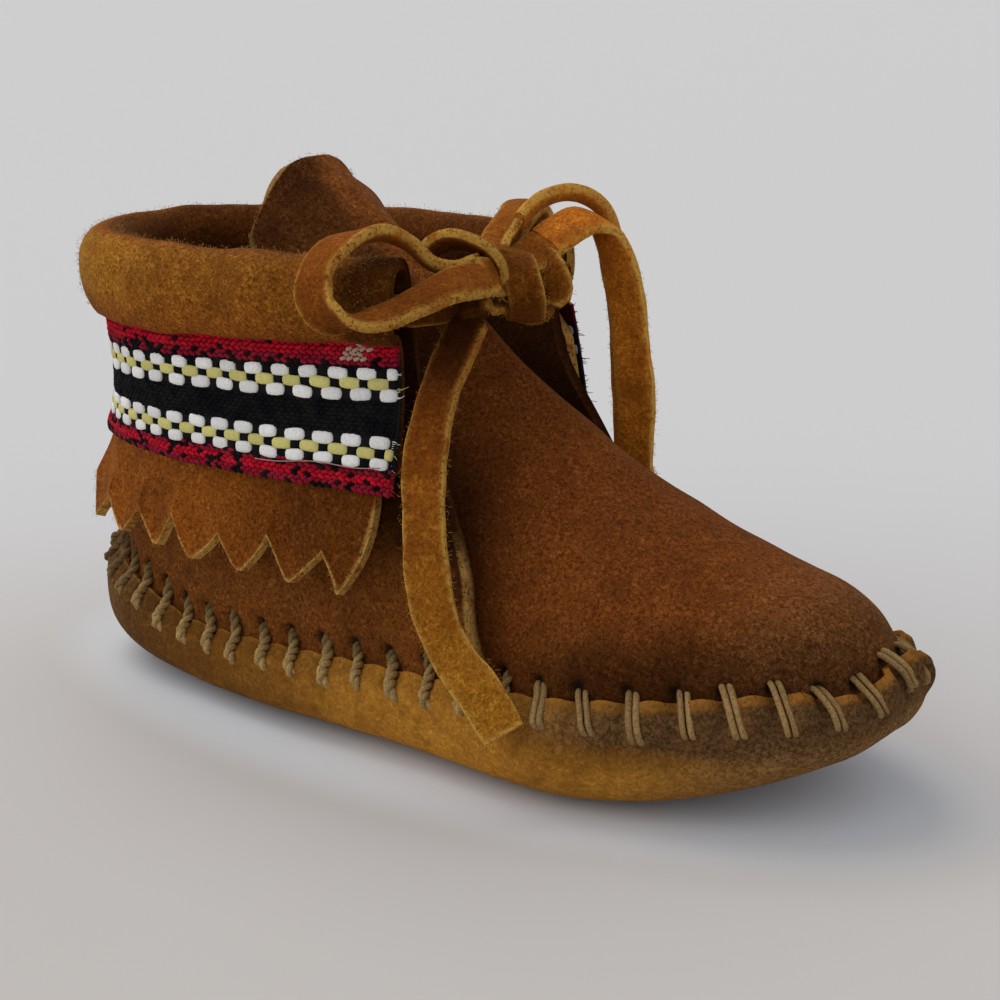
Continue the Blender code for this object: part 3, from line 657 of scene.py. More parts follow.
def read(table, column, at):
    """Smooth value of a named column, at places along the table's first column."""
    rows = np.array(table[1:], float)
    places, values = rows[:, 0], rows[:, table[0].index(column)]
    at = np.clip(np.asarray(at, float), places[0], places[-1])
    spans = np.diff(places)
    steps = np.diff(values) / spans
    before, after = steps[:-1], steps[1:]
    bends = np.zeros(len(before))
    np.divide(2 * before * after, before + after, out=bends, where=before * after > 0)
    slopes = np.concatenate([[steps[0]], bends, [steps[-1]]])
    k = np.clip(np.searchsorted(places, at, side="right") - 1, 0, len(spans) - 1)
    u = (at - places[k]) / spans[k]
    bend = (u - 1) * ((u - 1) * slopes[k] + u * slopes[k + 1]) * spans[k] * u
    return values[k] + (values[k + 1] - values[k]) * u * u * (3 - 2 * u) + bend


def step_up(value, low, high):
    """Smooth step from 0 to 1 between two values."""
    u = np.clip((np.asarray(value, float) - low) / (high - low), 0, 1)
    return u * u * (3 - 2 * u)


def bell(gap, width):
    """1 at no distance, fading smoothly on both sides."""
    return np.exp(-((gap / width) ** 2))


def folded(angle):
    """Angle from the heel, 0 to 180, of an angle that is negative on the right side."""
    return np.abs((np.asarray(angle, float) + 180) % 360 - 180)


def sole_plan(angle):
    turn = np.radians(angle)
    width = read(OUTLINE, "half_width", folded(angle))
    return np.stack([LENGTH / 2 * (1 - np.cos(turn)), width * np.sin(turn)], -1)


def within(plan, angle, depth):
    """Points of a plan, moved in from the outline by a depth."""
    angle, depth = np.broadcast_arrays(np.asarray(angle, float), depth)
    run = unit(plan(angle + 0.5) - plan(angle - 0.5))
    return plan(angle) + np.stack([run[..., 1], -run[..., 0]], -1) * depth[..., None]


def ground(angle):
    """Height of the sole's underside: toe spring and a small lift at the heel."""
    along = sole_plan(angle)[..., 0] / LENGTH
    toe = np.maximum(along - TOE_SPRING_FROM, 0) / (1 - TOE_SPRING_FROM)
    heel = np.maximum(HEEL_LIFT_TO - along, 0) / HEEL_LIFT_TO
    return TOE_SPRING * toe**2 + HEEL_LIFT * heel**2


def toe_dip(angle):
    return TOE_DIP * bell(folded(angle) - TOE_DIP_AT, TOE_DIP_WIDE)


def sole_side(angle, up, depth=0.0):
    """Points on the sole's side, moved in by a depth, at a share of the edge's height."""
    angle, up, depth = np.broadcast_arrays(np.asarray(angle, float), up, depth)
    flat = within(sole_plan, angle, read(SOLE_SIDE, "inset", up) + depth)
    side = np.where(angle < 0, -1, 1)
    low = ground(angle)
    edge = read(OUTLINE, "edge_height", folded(angle)) - toe_dip(angle)
    height = low + (edge - low) * up
    return np.stack([flat[..., 0], side * np.maximum(side * flat[..., 1], 0), height], -1)


def stitch_count():
    """Running count of stitches from the heel, at each angle of a fine table."""
    angles = np.linspace(0, 180, 721)
    seam = sole_side(angles, 1.0)
    seam[:, 2] += toe_dip(angles)
    runs = np.linalg.norm(np.diff(seam, axis=0), axis=1)
    pitch = read(STITCHING, "pitch", (angles[1:] + angles[:-1]) / 2)
    count = np.concatenate([[0], np.cumsum(runs / pitch)])
    return angles, count * round(count[-1]) / count[-1]


STITCH_ANGLES, STITCH_RUN = stitch_count()


def grid_normals(grid, ring=False, turned=False):
    """Unit normals of a grid of points, columns first."""
    across = np.roll(grid, -1, 0) - np.roll(grid, 1, 0) if ring else np.gradient(grid, axis=0)
    up = np.gradient(grid, axis=1)
    return unit(np.cross(across, up) if turned else np.cross(up, across))


def creased(grid, normals, creases):
    """Moves a grid along its normals by soft troughs (depth above 0) and ridges (below 0).

    A crease runs from one point to another, with a depth and a width.
    """
    moved = np.zeros(grid.shape[:2])
    for start, end, depth, width in creases:
        start, run = np.array(start, float), np.subtract(end, start)
        share = np.clip((grid - start) @ run / (run @ run), 0, 1)
        close = bell(np.linalg.norm(grid - start - share[..., None] * run, axis=-1), width)
        moved -= depth * (0.35 + 0.65 * np.sin(np.pi * share)) * close
    return grid + normals * moved[..., None]


def lumps(grid, size, height, seed=0):
    """Slow unevenness of soft hide: a few waves of about a size, in three directions."""
    x, y, z = (np.moveaxis(grid, -1, 0) * (2 * math.pi / size))
    wave = (np.sin(x * 0.9 + 0.7 * y + seed) + np.sin(1.1 * y - 0.6 * z + 2.1 * seed)
            + np.sin(z * 0.8 - 0.5 * x + 1.3 * seed) + 0.6 * np.sin(1.9 * x + 1.3 * z + seed)
            + 0.6 * np.sin(2.1 * y + 1.6 * x - seed))
    return height * wave / 3


def shell(name, outer, inner, finish, marks, ring=False, fused_start=False, inner_marks=()):
    """Closed skin of leather between two grids, with marks on both or on one of them."""
    count, rows = outer.shape[:2]
    size = count * rows
    face = quads(count, rows, wrap_rows=ring)
    faces = [face, face[:, ::-1] + size]
    i = np.arange(count if ring else count - 1) * rows
    n, last = (i + rows) % size, rows - 1
    rims = [] if fused_start else [(i + size, n + size, -size)]
    rims.append((i + last, n + last, size))
    if not ring:
        k = np.arange(last)
        end = k + 2 * size - rows
        rims += [(k, k + 1, size), (end, end + 1, -size)]
    faces += [np.stack([a, b, b + step, a + step], -1) for a, b, step in rims]
    within_marks = {**marks, **dict(inner_marks)}
    both = {key: np.concatenate([np.ravel(np.broadcast_to(side.get(key, 0.0), (count, rows)))
                                 for side in (marks, within_marks)]) for key in within_marks}
    points = np.concatenate([outer.reshape(-1, 3), inner.reshape(-1, 3)])
    return solid(name, points, np.vstack(faces), finish, both)


sole_finish = suede("sole_suede", 0.5, 0.5)
spots = np.linspace(-180, 180, SOLE_COLUMNS, endpoint=False)[:, None]
bearing = folded(spots)
rising = np.linspace(0, 1, SOLE_ROWS)[None, :] ** 0.9
side_rows = sole_side(spots, rising)
flat = len(BOTTOM_SHARES)
bottom = np.ones((flat, 3))
bottom[:, 1] = BOTTOM_SHARES
pan = np.concatenate([side_rows[:, :1] * bottom, side_rows], 1)
pan_up = np.concatenate([np.zeros((1, flat)), rising], 1)
facing = grid_normals(pan, ring=True)
facing[:, :flat] = (0.0, 0.0, -1.0)
# The edge bulges between the stitches and is pulled in and down at each of them
pitch = read(STITCHING, "pitch", bearing)
count = np.interp(bearing, STITCH_ANGLES, STITCH_RUN)
gap = (count - np.floor(count) - 0.5) * pitch
gather = read(STITCHING, "gather", bearing)
bulge = np.sin(np.pi * gap / pitch) ** 2
drop = read(STITCH_LIE, "drop", bearing)
reach_down = 1.0 - drop / np.maximum(side_rows[:, -1:, 2] - ground(spots), 6.0)
hold = step_up(pan_up, reach_down - 0.18, reach_down + 0.12)
toe = step_up(bearing, 100, 150)
pull = bell(gap, PULL_WIDE) * hold
swell = gather * bulge * hold * (0.75 + 0.25 * np.sin(np.arange(SOLE_COLUMNS) * 0.37))[:, None]
toe_lip = toe * LIP_OUT * bell(pan_up - LIP_AT, 0.07) * bulge
side_wave = 0.30 * step_up(pan_up, 0.25, 0.6) * np.sin(np.radians(spots) * 9.0 + pan_up * 3.0)
moved = swell + toe_lip - (PULL_DEEP + PULL_DEEP_TOE * toe) * pull + side_wave * 0.5
moved += lumps(pan, 21.0, 0.28, 1.0) * step_up(pan_up, 0.05, 0.4)
moved -= EDGE_CURL * step_up(pan_up, EDGE_FROM, 1.0)
pan = pan + facing * moved[..., None]
pan[..., 2] += (0.55 * bulge - 0.35) * (0.5 + gather) * step_up(pan_up, 0.82, 1.0)
# The toe is soiled below a pale cut edge, the heel is dark and the sides are rubbed ochre,
# and painted lighter low down, as light bounced from the paper.
# Zones run over angles from the heel, and over shares of the edge's height.
line_low = 1.0 - 0.08 * step_up(bearing, 100, 122)
grime_low = 0.55 - 0.50 * step_up(bearing, 125, 165)
round_heel = 1 - step_up(bearing, 24, 62)
sole_marks = {
    "edge": np.where(pan_up > 0.999, 0.8, 0.6 * step_up(pan_up, line_low, line_low + 0.04)
                     * step_up(bearing, 100, 122)),
    "grime": (np.maximum(step_up(bearing, 108, 128) * step_up(pan_up, grime_low, grime_low + 0.2),
                         0.78 * step_up(bearing, 122, 148))
              * (1 - 0.8 * step_up(pan_up, line_low - 0.02, line_low + 0.03))
              + 1.0 * round_heel * step_up(pan_up, -0.2, 0.3)
              + 0.5 * (1 - step_up(pan_up, 0.0, 0.10))),
    "dark": (0.44 * round_heel + 0.34 * step_up(bearing, 30, 50) * (1 - step_up(bearing, 62, 90))
             + 0.52 * step_up(bearing, 108, 126) * step_up(pan_up, 0.35, 0.62)),
    "wear_and_light": (step_up(bearing, 72, 94) * (1 - 0.30 * step_up(bearing, 96, 118))
             * (1 - 0.4 * step_up(pan_up, 0.5, 0.85))),
}
sole_skin, sole_facing = pan, grid_normals(pan, ring=True)
skive = SOLE_WALL * (1 - EDGE_SKIVE * step_up(pan_up, EDGE_FROM, 1.0))
inner_pan = pan - sole_facing * skive[..., None]
inner_pan[:, :flat] = pan[:, :flat] + (0, 0, SOLE_WALL)
# Inside the pan: painted shade and the flesh side's own darker tone
sole = shell("sole_pan", pan, inner_pan, sole_finish, sole_marks, True, True, {"dark": 0.6})
own_piece(sole, "sole")


# ---- Insole ----
# A thin leather sock, cut to the sole's inner outline, that lies loose in it. Little of it
# shows through the collar, so the CAD's own shape is only given its leather.
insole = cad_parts["insole"]
insole.data.materials.clear()
insole.data.materials.append(suede("insole_leather", 0.3))


# ---- Upper: quarter and vamp ----
# Brown suede about 1.4 mm thick. The quarter is one band round the heel, lapped at its front
# edges over the vamp. Both are sewn inside the sole's edge, through holes that pull dimples.
LEATHER = 1.4
COLLAR_HEIGHT = 56.0
COLLAR_CENTRE = 31.0
COLLAR_REAR = 23.4
COLLAR_FRONT = 45.5
COLLAR_HALF = 20.0
QUARTER_END = 107.0
QUARTER_COLUMNS = 460
# Where the quarter laps the vamp, its edge lifts and stands back
LAP_LIFT = 1.1
LAP_BACK = 0.7
# The collar's angle over each angle of the seam, and how the wall leans in on its way up
QUARTER = (("angle", "collar"), (0, 0), (30, 36), (60, 78), (85, 107), (107, 133.5))
QUARTER_RISE = (
    ("up", "share"),
    (0.00, 0.00), (0.18, 0.12), (0.45, 0.50), (0.75, 0.88), (1.00, 1.00),
)
VAMP_START = 90.0
VAMP_TUCK = 1.5
VAMP_TUCK_ENDS = 118.0
VAMP_THROAT = 57.5
VAMP_DROP_MOST = 2.2
# The vamp's sections are closer together round the toe
VAMP_TOE = 150.0
VAMP_SECTIONS = (104, 62)
# The vamp's middle line, and how round its sections are (2 is a quarter ellipse)
RIDGE = (
    ("x", "height", "roundness"),
    (57.5, 54.2, 1.38), (69.0, 45.3, 1.42), (76.0, 40.6, 1.46), (83.6, 35.6, 1.52),
    (90.0, 31.9, 1.60), (96.4, 29.4, 1.70), (104.0, 26.8, 1.80), (113.4, 23.9, 1.90),
    (119.2, 20.0, 2.00),
)
# Height of the stitch holes above the seam
HOLE_RISE = (
    ("angle", "rise"),
    (0, 1.9), (110, 1.2), (124, 0.7), (134, 0.3), (145, 0.0), (180, 0.0),
)
# Depth and width of the trough below a hole and of its dimple, and the radius of the hole's
# painted shade: full within the first, gone at the second
TROUGH = (0.35, 1.1)
DIMPLE = (1.0, 0.85)
HOLE = (0.45, 1.05)
# No dimple is higher than this or reaches further than this
DIMPLES_BELOW = 30.0
DIMPLE_REACH = 6.0
# Folds of the vamp and quarter: start, end, depth (ridges are negative) and width
UPPER_CREASES = (
    ((66, -9, 43), (80, -19, 26), 0.9, 3.2), ((72, -7, 40), (84, -16, 26), -0.5, 3.0),
    ((66, 9, 43), (80, 19, 26), 0.9, 3.2), ((86, -20, 18), (96, -15, 24), 0.45, 2.4),
    ((98, -19, 17), (106, -12, 22), 0.5, 2.2), ((90, 20, 18), (99, 14, 24), 0.45, 2.4),
    ((102, -6, 28), (114, -3, 25), -0.3, 3.0), ((8, -12, 24), (24, -19, 17), 0.5, 3.0),
    ((30, -21, 20), (50, -21, 16), 0.4, 2.6), ((56, -21, 26), (72, -23, 17), 0.7, 2.8),
    ((10, 12, 26), (30, 20, 17), 0.5, 3.0), ((40, 21, 22), (66, 22, 16), 0.5, 2.8),
)


def collar_plan(angle):
    turn = np.radians(angle)
    reach = np.where(np.abs(angle) < 90, COLLAR_REAR, COLLAR_FRONT)
    return np.stack([COLLAR_CENTRE - reach * np.cos(turn), COLLAR_HALF * np.sin(turn)], -1)


def quarter(angle, up, depth=0.0):
    """Points on the quarter, from the seam (0) to the collar (1)."""
    angle, up, depth = np.broadcast_arrays(np.asarray(angle, float), up, depth)
    seam = sole_side(angle, 1.0, SEAM_INSET + depth)
    over = np.sign(angle) * read(QUARTER, "collar", np.abs(angle))
    top = within(collar_plan, over, depth)
    share = read(QUARTER_RISE, "share", up)[..., None]
    flat = seam[..., :2] + (top - seam[..., :2]) * share
    height = seam[..., 2] + (COLLAR_HEIGHT - seam[..., 2]) * up
    return np.concatenate([flat, height[..., None]], -1)


def tuck(angle):
    """How far the vamp lies inside the quarter."""
    share = (VAMP_TUCK_ENDS - folded(angle)) / (VAMP_TUCK_ENDS - QUARTER_END)
    return VAMP_TUCK * np.clip(share, 0, 1)


def ridge_x(angle):
    """Where a vamp section that starts at this angle of the seam meets the ridge."""
    last = RIDGE[-1][0]
    first = within(sole_plan, VAMP_START - 2.0, SEAM_INSET)[0]
    inset = SEAM_INSET + read(SOLE_SIDE, "inset", 1.0)
    here = within(sole_plan, folded(angle), inset)[..., 0]
    share = np.clip((here - first) / (last - first), 0, 1)
    return VAMP_THROAT + (last - VAMP_THROAT) * share


def vamp(angle, turn, depth=0.0):
    """Points on a vamp section, from the seam (turn 0) up to the ridge (turn 90)."""
    angle, turn, depth = np.broadcast_arrays(np.asarray(angle, float), turn, depth)
    seam = sole_side(angle, 1.0, SEAM_INSET + tuck(angle) + depth)
    along = ridge_x(angle)
    rise = read(RIDGE, "height", along) - seam[..., 2]
    width = np.maximum(np.abs(seam[..., 1]), 1.0)
    drop = depth * np.minimum(np.hypot(1.0, rise / width), VAMP_DROP_MOST)
    power = 2 / read(RIDGE, "roundness", along)
    across = 1 - np.maximum(np.cos(np.radians(turn)), 0) ** power
    up = np.maximum(np.sin(np.radians(turn)), 0) ** power
    return np.stack([seam[..., 0] + (along - seam[..., 0]) * across,
                     seam[..., 1] * (1 - across), seam[..., 2] + (rise - drop) * up], -1)


def leaned(angle, share):
    """Angle along the seam of a spot on a leaning stitch; round the toe only its foot leans."""
    span = np.linalg.norm(sole_plan(angle - 0.5) - sole_plan(angle + 0.5))
    at_toe = step_up(abs(angle), 108, 130)
    share = share * (1 - 0.9 * at_toe if share > 0 else 1 + 0.5 * at_toe)
    moved = angle + share * float(read(STITCH_LIE, "slant", abs(angle))) / span
    return float(np.clip(moved, -179.9, 179.9))


def up_from_seam(angle, share, length=0.0):
    """The upper's point at a length above the seam, where a leaning stitch crosses it."""
    angle = leaned(angle, share)
    if abs(angle) < QUARTER_END:
        line = quarter(angle, np.linspace(0, 0.4, 40))
    else:
        line = vamp(angle, np.linspace(0, 60, 60))
    return looked_up(length, lengths_along(line), line)


stitch_marks = np.interp(np.arange(round(STITCH_RUN[-1])) + 0.5, STITCH_RUN, STITCH_ANGLES)
stitch_angles = np.concatenate([-stitch_marks[::-1], stitch_marks])
hole_spots = np.array([up_from_seam(angle, LEAN_AT_HOLE, read(HOLE_RISE, "rise", abs(angle)))
                       for angle in stitch_angles])
seam_spots = np.array([up_from_seam(angle, LEAN_AT_RIM) for angle in stitch_angles])


def pulled(grid, normals):
    """Dimples and painted hole shade at the stitch holes, and the troughs pulled below them."""
    flat = grid.reshape(-1, 3)
    depth, hole = np.zeros(len(flat)), np.zeros(len(flat))
    low = flat[:, 2] < DIMPLES_BELOW
    near = flat[low]
    deep, dark = np.zeros(len(near)), np.zeros(len(near))
    for spot, seam in zip(hole_spots, seam_spots):
        close = np.where(np.abs(near - spot).max(axis=1) < DIMPLE_REACH)[0]
        away, run = near[close] - spot, seam - spot
        share = np.clip(away @ run / (run @ run), 0, 1)
        gap = np.linalg.norm(away - share[:, None] * run, axis=1)
        reach = np.linalg.norm(away, axis=1)
        deep[close] = np.maximum.reduce([deep[close], TROUGH[0] * bell(gap, TROUGH[1]),
                                         DIMPLE[0] * bell(reach, DIMPLE[1])])
        dark[close] = np.maximum(dark[close], 1 - step_up(reach, *HOLE))
    depth[low], hole[low] = deep, dark
    shape = grid.shape[:2]
    return grid - normals * depth.reshape(shape)[..., None], hole.reshape(shape)


upper_finish = suede("upper_suede")
# The quarter
spots = np.linspace(-QUARTER_END, QUARTER_END, QUARTER_COLUMNS)[:, None]
ups = np.concatenate([np.linspace(-0.14, 0.26, 34), np.linspace(0.29, 1.0, 30)])[None, :]
under = sole_side(spots, 1.0 + np.minimum(ups, 0) * 1.6, SEAM_INSET)
skin = np.where((ups < 0)[..., None], under, quarter(spots, np.maximum(ups, 0)))
facing = grid_normals(skin)
lap = step_up(np.abs(spots), 98, QUARTER_END) * bell(ups - 0.14, 0.12)
skin = skin + facing * (lumps(skin, 17.0, 0.22, 2.0) + LAP_LIFT * lap)[..., None]
skin[..., 0] -= LAP_BACK * lap
skin, holes = pulled(creased(skin, facing, UPPER_CREASES), facing)
quarter_skin = (skin.reshape(-1, 3), facing.reshape(-1, 3))
front_edge = np.where(np.abs(spots) > QUARTER_END - 0.5, 1.0, 0.0)
# Painted shade on the quarter beside the flap's front tooth; inside, painted shade and the flesh
# side's own darker tone
quarter_marks = {
    "hole": holes,
    "edge": front_edge * (1 - step_up(ups, 0.26, 0.40)),
    "dark": step_up(np.abs(spots), 91, 98) * step_up(ups, 0.16, 0.36),
}
own_piece(shell("quarter", skin, skin - facing * LEATHER, upper_finish, quarter_marks,
                inner_marks={"dark": 0.75, "edge": 0.0}), "upper")
# The vamp
spots = np.concatenate([np.linspace(VAMP_START, VAMP_TOE, VAMP_SECTIONS[0]),
                        np.linspace(VAMP_TOE + 0.5, 180, VAMP_SECTIONS[1])])[:, None]
turns = np.concatenate([[-14, -7], np.linspace(0, 36, 34), np.linspace(38, 90, 34)])
signs = np.concatenate([-np.ones(len(turns)), np.ones(len(turns) - 1)])
turns = np.concatenate([turns, turns[-2::-1]])[None, :]
under = sole_side(spots * signs, 1.0 + np.minimum(turns, 0) / 70, SEAM_INSET + tuck(spots))
skin = np.where((turns < 0)[..., None], under, vamp(spots * signs, np.maximum(turns, 0)))
facing = grid_normals(skin, turned=True)
facing[-1] = facing[-3]
skin = skin + facing * (lumps(skin, 15.0, 0.20, 3.0) * step_up(180 - spots, 0, 12))[..., None]
skin, holes = pulled(creased(skin, facing, UPPER_CREASES), facing)
vamp_skin = (skin.reshape(-1, 3), facing.reshape(-1, 3))
# Soiled at the tip; painted shade low round the toe, under the cuff and beside the knot.
# Inside, painted shade and the flesh side's own darker tone.
x, y, z = np.moveaxis(skin, -1, 0)
above = z - read(OUTLINE, "edge_height", folded(spots))
low = (1 - step_up(above, 2.0, 9.0)) * step_up(x, 76, 92)
tip = step_up(x, 100, 113)
vamp_marks = {
    "hole": holes,
    "grime": 0.22 * tip,
    "wear_and_light": 0.8 * (1 - low),
    "dark": np.maximum.reduce([
        0.80 * low * (1 - 0.45 * tip),
        0.3 * (1 - step_up(x, 66, 82)),
        0.75 * (1 - step_up(x, 69, 78)) * step_up(np.abs(y), 4, 13)]),
}
depths = np.minimum(LEATHER, LEATHER * (0.25 + step_up(180 - spots, 0, 14)))
own_piece(shell("vamp", skin, skin - facing * depths[..., None], upper_finish, vamp_marks,
                inner_marks={"dark": 0.8}), "upper")


# ---- Tongue ----
# A rounded tab of brown suede that carries the vamp's ridge on, up through the collar. It
# joins the vamp under the knot, arches across, and has a raw rim with a little fuzz.
TONGUE_TIP = (36.4, 69.8)
# Half widths and the fall of the rim below the middle, at shares of the tab's length
TONGUE = (
    ("along", "right", "left", "drop"),
    (0.00, 11.5, 11.5, 12.0), (0.50, 13.5, 13.5, 11.0), (0.78, 13.4, 14.2, 8.0),
    (0.91, 9.9, 7.6, 3.9), (0.98, 6.3, 3.7, 0.9), (1.00, 3.0, 1.6, 0.2),
)
TONGUE_ARCH = 1.5
TONGUE_FIT = 0.3
TONGUE_GRID = (72, 61)

tongue_finish = suede("tongue_suede")
root = np.array((VAMP_THROAT - TONGUE_FIT, float(read(RIDGE, "height", VAMP_THROAT))))
lean = math.atan2(TONGUE_TIP[1] - root[1], root[0] - TONGUE_TIP[0])
along = np.sin(np.pi / 2 * np.linspace(0, 1, TONGUE_GRID[0]))[:, None]
across = np.linspace(-1, 1, TONGUE_GRID[1])[None, :]
spine = root + (np.array(TONGUE_TIP) - root) * along
drop = read(TONGUE, "drop", along) * np.abs(across) ** TONGUE_ARCH
half = np.where(across > 0, read(TONGUE, "left", along), read(TONGUE, "right", along))
tab = np.stack([spine[:, :1] - math.sin(lean) * drop,
                half * across,
                spine[:, 1:] - math.cos(lean) * drop], -1)
facing = grid_normals(tab)
if facing[30, 30, 2] < 0:
    facing = -facing
tab = tab + facing * lumps(tab, 16.0, 0.25, 4.0)[..., None]
tongue_edge = np.maximum(step_up(np.abs(across), 0.96, 1.0), step_up(along, 0.99, 1.0)) * 0.45
tongue = shell("tongue_tab", tab, tab - facing * LEATHER, tongue_finish,
               {"edge": tongue_edge, "wear_and_light": step_up(across, -0.34, -0.12) + 0 * along})
own_piece(tongue, "tongue")
rims = ((tab[:, 0], tab[:, 1]), (tab[:, -1], tab[:, -2]), (tab[-1], tab[-2]))
napped("tongue_nap", [spread(rim, unit(rim - beside)) for rim, beside in rims], tongue_finish,
       "tongue")


# ---- Cuff ----
# The quarter's top, folded outward. It rolls over the thong and hangs as a flap with a hem
# cut in saw teeth, so the pale cut suede shows along the hem and the front edges.
CUFF_WALL = 1.3
CUFF_COLUMNS = 600
CUFF_STEP = 0.75
HEM_TIP = 21.0
HEM_ROOT = 26.0
HEM_OUT = 4.4
HEM_FLARE = 1.6
HEM_ROWS = 20
# The saw teeth: length, share of it that is the steep side, and how blunt the tips are
TOOTH = 8.3
TOOTH_STEEP = 0.42
TOOTH_BLUNT = 0.08
FLAP_LEAN = 0.17
# The flap's front corners are cut back from this height down; the cut stays near the corner
CORNER_FROM = 33.0
CORNER_START = 2.4
CORNER_CUT = 4.0
CORNER_CURVE = 2.8
CORNER_NEAR = 24
ROLL_SAG = 3.4
SAG_FROM = 56.2
SAG_TO = 47.5
BRAID_TOP = 50.2
BRAID_BOTTOM = 34.2
# Across the roll and the flap: how far it stands out from the quarter, and its height
CUFF_PROFILE = (
    (-1.4, 54.6), (-1.4, 57.4), (0.2, 59.7), (2.8, 60.5), (5.4, 59.6), (6.7, 57.4), (6.8, 54.6),
    (6.0, 52.2), (4.6, 50.7), (2.9, 50.3), (2.1, 49.0), (2.0, 46.0), (2.0, 40.0), (2.1, 33.5),
)
# How much closer the roll and the flap lie to the heel, and how much shorter the left roll is
HEEL_SLIM = 0.8
HEEL_PRESS = 1.1
LEFT_SHORT = 4.0
# Unevenness that the braid follows too: size, height and seed
FLAP_WAVE = (19.0, 0.32, 5.0)
# The roll's fibres stand on the part of it that is above a height and away from the foot
ROLL_FIBRES = 6000
ROLL_FROM = 51.5
ROLL_OUTSIDE = 0.5
CUFF_FIBRE = 0.24
HEM_FIBRES_EACH_MM = 4.5
# Folds of the roll and flap: start, end, depth and width
CUFF_CREASES = (
    ((2, -10, 58), (4, -15, 52), 0.5, 2.2), ((14, -24, 60), (15, -26, 54), 0.45, 2.0),
    ((26, -24, 60.5), (24, -27, 54), 0.5, 2.0), ((40, -22, 60.5), (43, -26, 54), 0.6, 2.2),
    ((50, -20, 60.5), (53, -25, 54), 0.8, 2.2), ((20, 24, 60), (22, 27, 54), 0.5, 2.2),
    ((42, 22, 60), (44, 26, 54), 0.6, 2.2), ((30, -25, 33), (26, -26, 24), 0.6, 2.4),
    ((48, -24, 33), (50, -27, 24), -0.6, 2.6), ((12, -20, 33), (9, -21, 24), -0.5, 2.4),
)

arc_table = np.linspace(0, 80, 161)
height_table = np.linspace(14, COLLAR_HEIGHT, 60)
angle_steps = np.linspace(0, QUARTER_END, 216)


def quarter_plan(angle, height, out=0.0):
    """Plan points of the quarter at a height, standing out from its surface."""
    edge = read(OUTLINE, "edge_height", np.abs(angle))
    return quarter(angle, (height - edge) / (COLLAR_HEIGHT - edge), -np.asarray(out))[..., :2]


runs = [lengths_along(quarter_plan(angle_steps, height)) for height in height_table]
angle_table = np.array([np.interp(arc_table, run, angle_steps) for run in runs])
collar_length = float(runs[-1][-1])


def wall(arc, height, out):
    """Points at a length round the quarter (negative on the right), standing out from it."""
    arc, height, out = np.broadcast_arrays(np.asarray(arc, float), height, out)
    low = np.minimum(height, COLLAR_HEIGHT)
    i = np.clip((low - height_table[0]) / (height_table[1] - height_table[0]), 0,
                len(height_table) - 1.001)
    j = np.clip(np.abs(arc) / (arc_table[1] - arc_table[0]), 0, len(arc_table) - 1.001)
    i0, j0 = i.astype(int), j.astype(int)
    fi, fj = i - i0, j - j0
    angle = ((angle_table[i0, j0] * (1 - fj) + angle_table[i0, j0 + 1] * fj) * (1 - fi)
             + (angle_table[i0 + 1, j0] * (1 - fj) + angle_table[i0 + 1, j0 + 1] * fj) * fi)
    plan = quarter_plan(angle, low, out)
    return np.stack([plan[..., 0], plan[..., 1] * np.sign(arc), height], -1)


def sagged(arc, height):
    """The roll hangs lower at the heel than at its front ends."""
    share = np.clip((SAG_FROM - height) / (SAG_FROM - SAG_TO), 0, 1)
    flap = np.clip((height - CORNER_FROM) / (BRAID_TOP - CORNER_FROM), 0, 1)
    back = 1 - np.minimum(np.abs(arc) / collar_length, 1)
    return height - ROLL_SAG * back * share * flap


def flap_end(height):
    """Length round the quarter at which the flap's front edge stands."""
    return collar_length + FLAP_LEAN * np.maximum(BRAID_TOP - height, 0)


def corner_cut(height):
    """How far the flap's front edge is cut back below the braid."""
    cut = np.maximum(CORNER_FROM - height, 0) / (CORNER_FROM - HEM_TIP)
    return (CORNER_START * step_up(height, CORNER_FROM + 3, CORNER_FROM)
            + CORNER_CUT * cut**CORNER_CURVE)


def heel_press(share, height):
    """How far the flap lies closer to the heel, behind the braid."""
    return (HEEL_PRESS * bell(share, 0.30) * step_up(height, 33.0, 37.0)
            * (1 - step_up(height, 45.0, 50.0)))


cuff_finish = suede("cuff_suede")
# Columns of the cuff, with one at each tooth's tip and root, and the hem's rise at each
hem_cut = float(corner_cut(HEM_TIP))
teeth = round(2 * (float(flap_end(HEM_TIP)) - hem_cut) / TOOTH)
corners = (np.concatenate([np.arange(teeth + 1), np.arange(teeth) + TOOTH_STEEP]) / teeth) * 2 - 1
share = np.unique(np.concatenate([np.linspace(-1, 1, CUFF_COLUMNS), corners]))[:, None]
tooth_no = (share + 1) / 2 * teeth
phase = tooth_no % 1
phase = np.where(phase > 1 - 1e-6, 0.0, phase)
steep = np.clip(phase / TOOTH_STEEP, 0, 1) ** 1.15
slope = 1 - np.clip((phase - TOOTH_STEEP) / (1 - TOOTH_STEEP), 0, 1) ** 0.85
rise = np.maximum(np.where(phase < TOOTH_STEEP, steep, slope) - TOOTH_BLUNT, 0)
rise = rise / (1 - TOOTH_BLUNT) * (0.92 + 0.10 * np.sin(np.floor(tooth_no) * 2.4))
hem = HEM_TIP + (HEM_ROOT - HEM_TIP) * rise
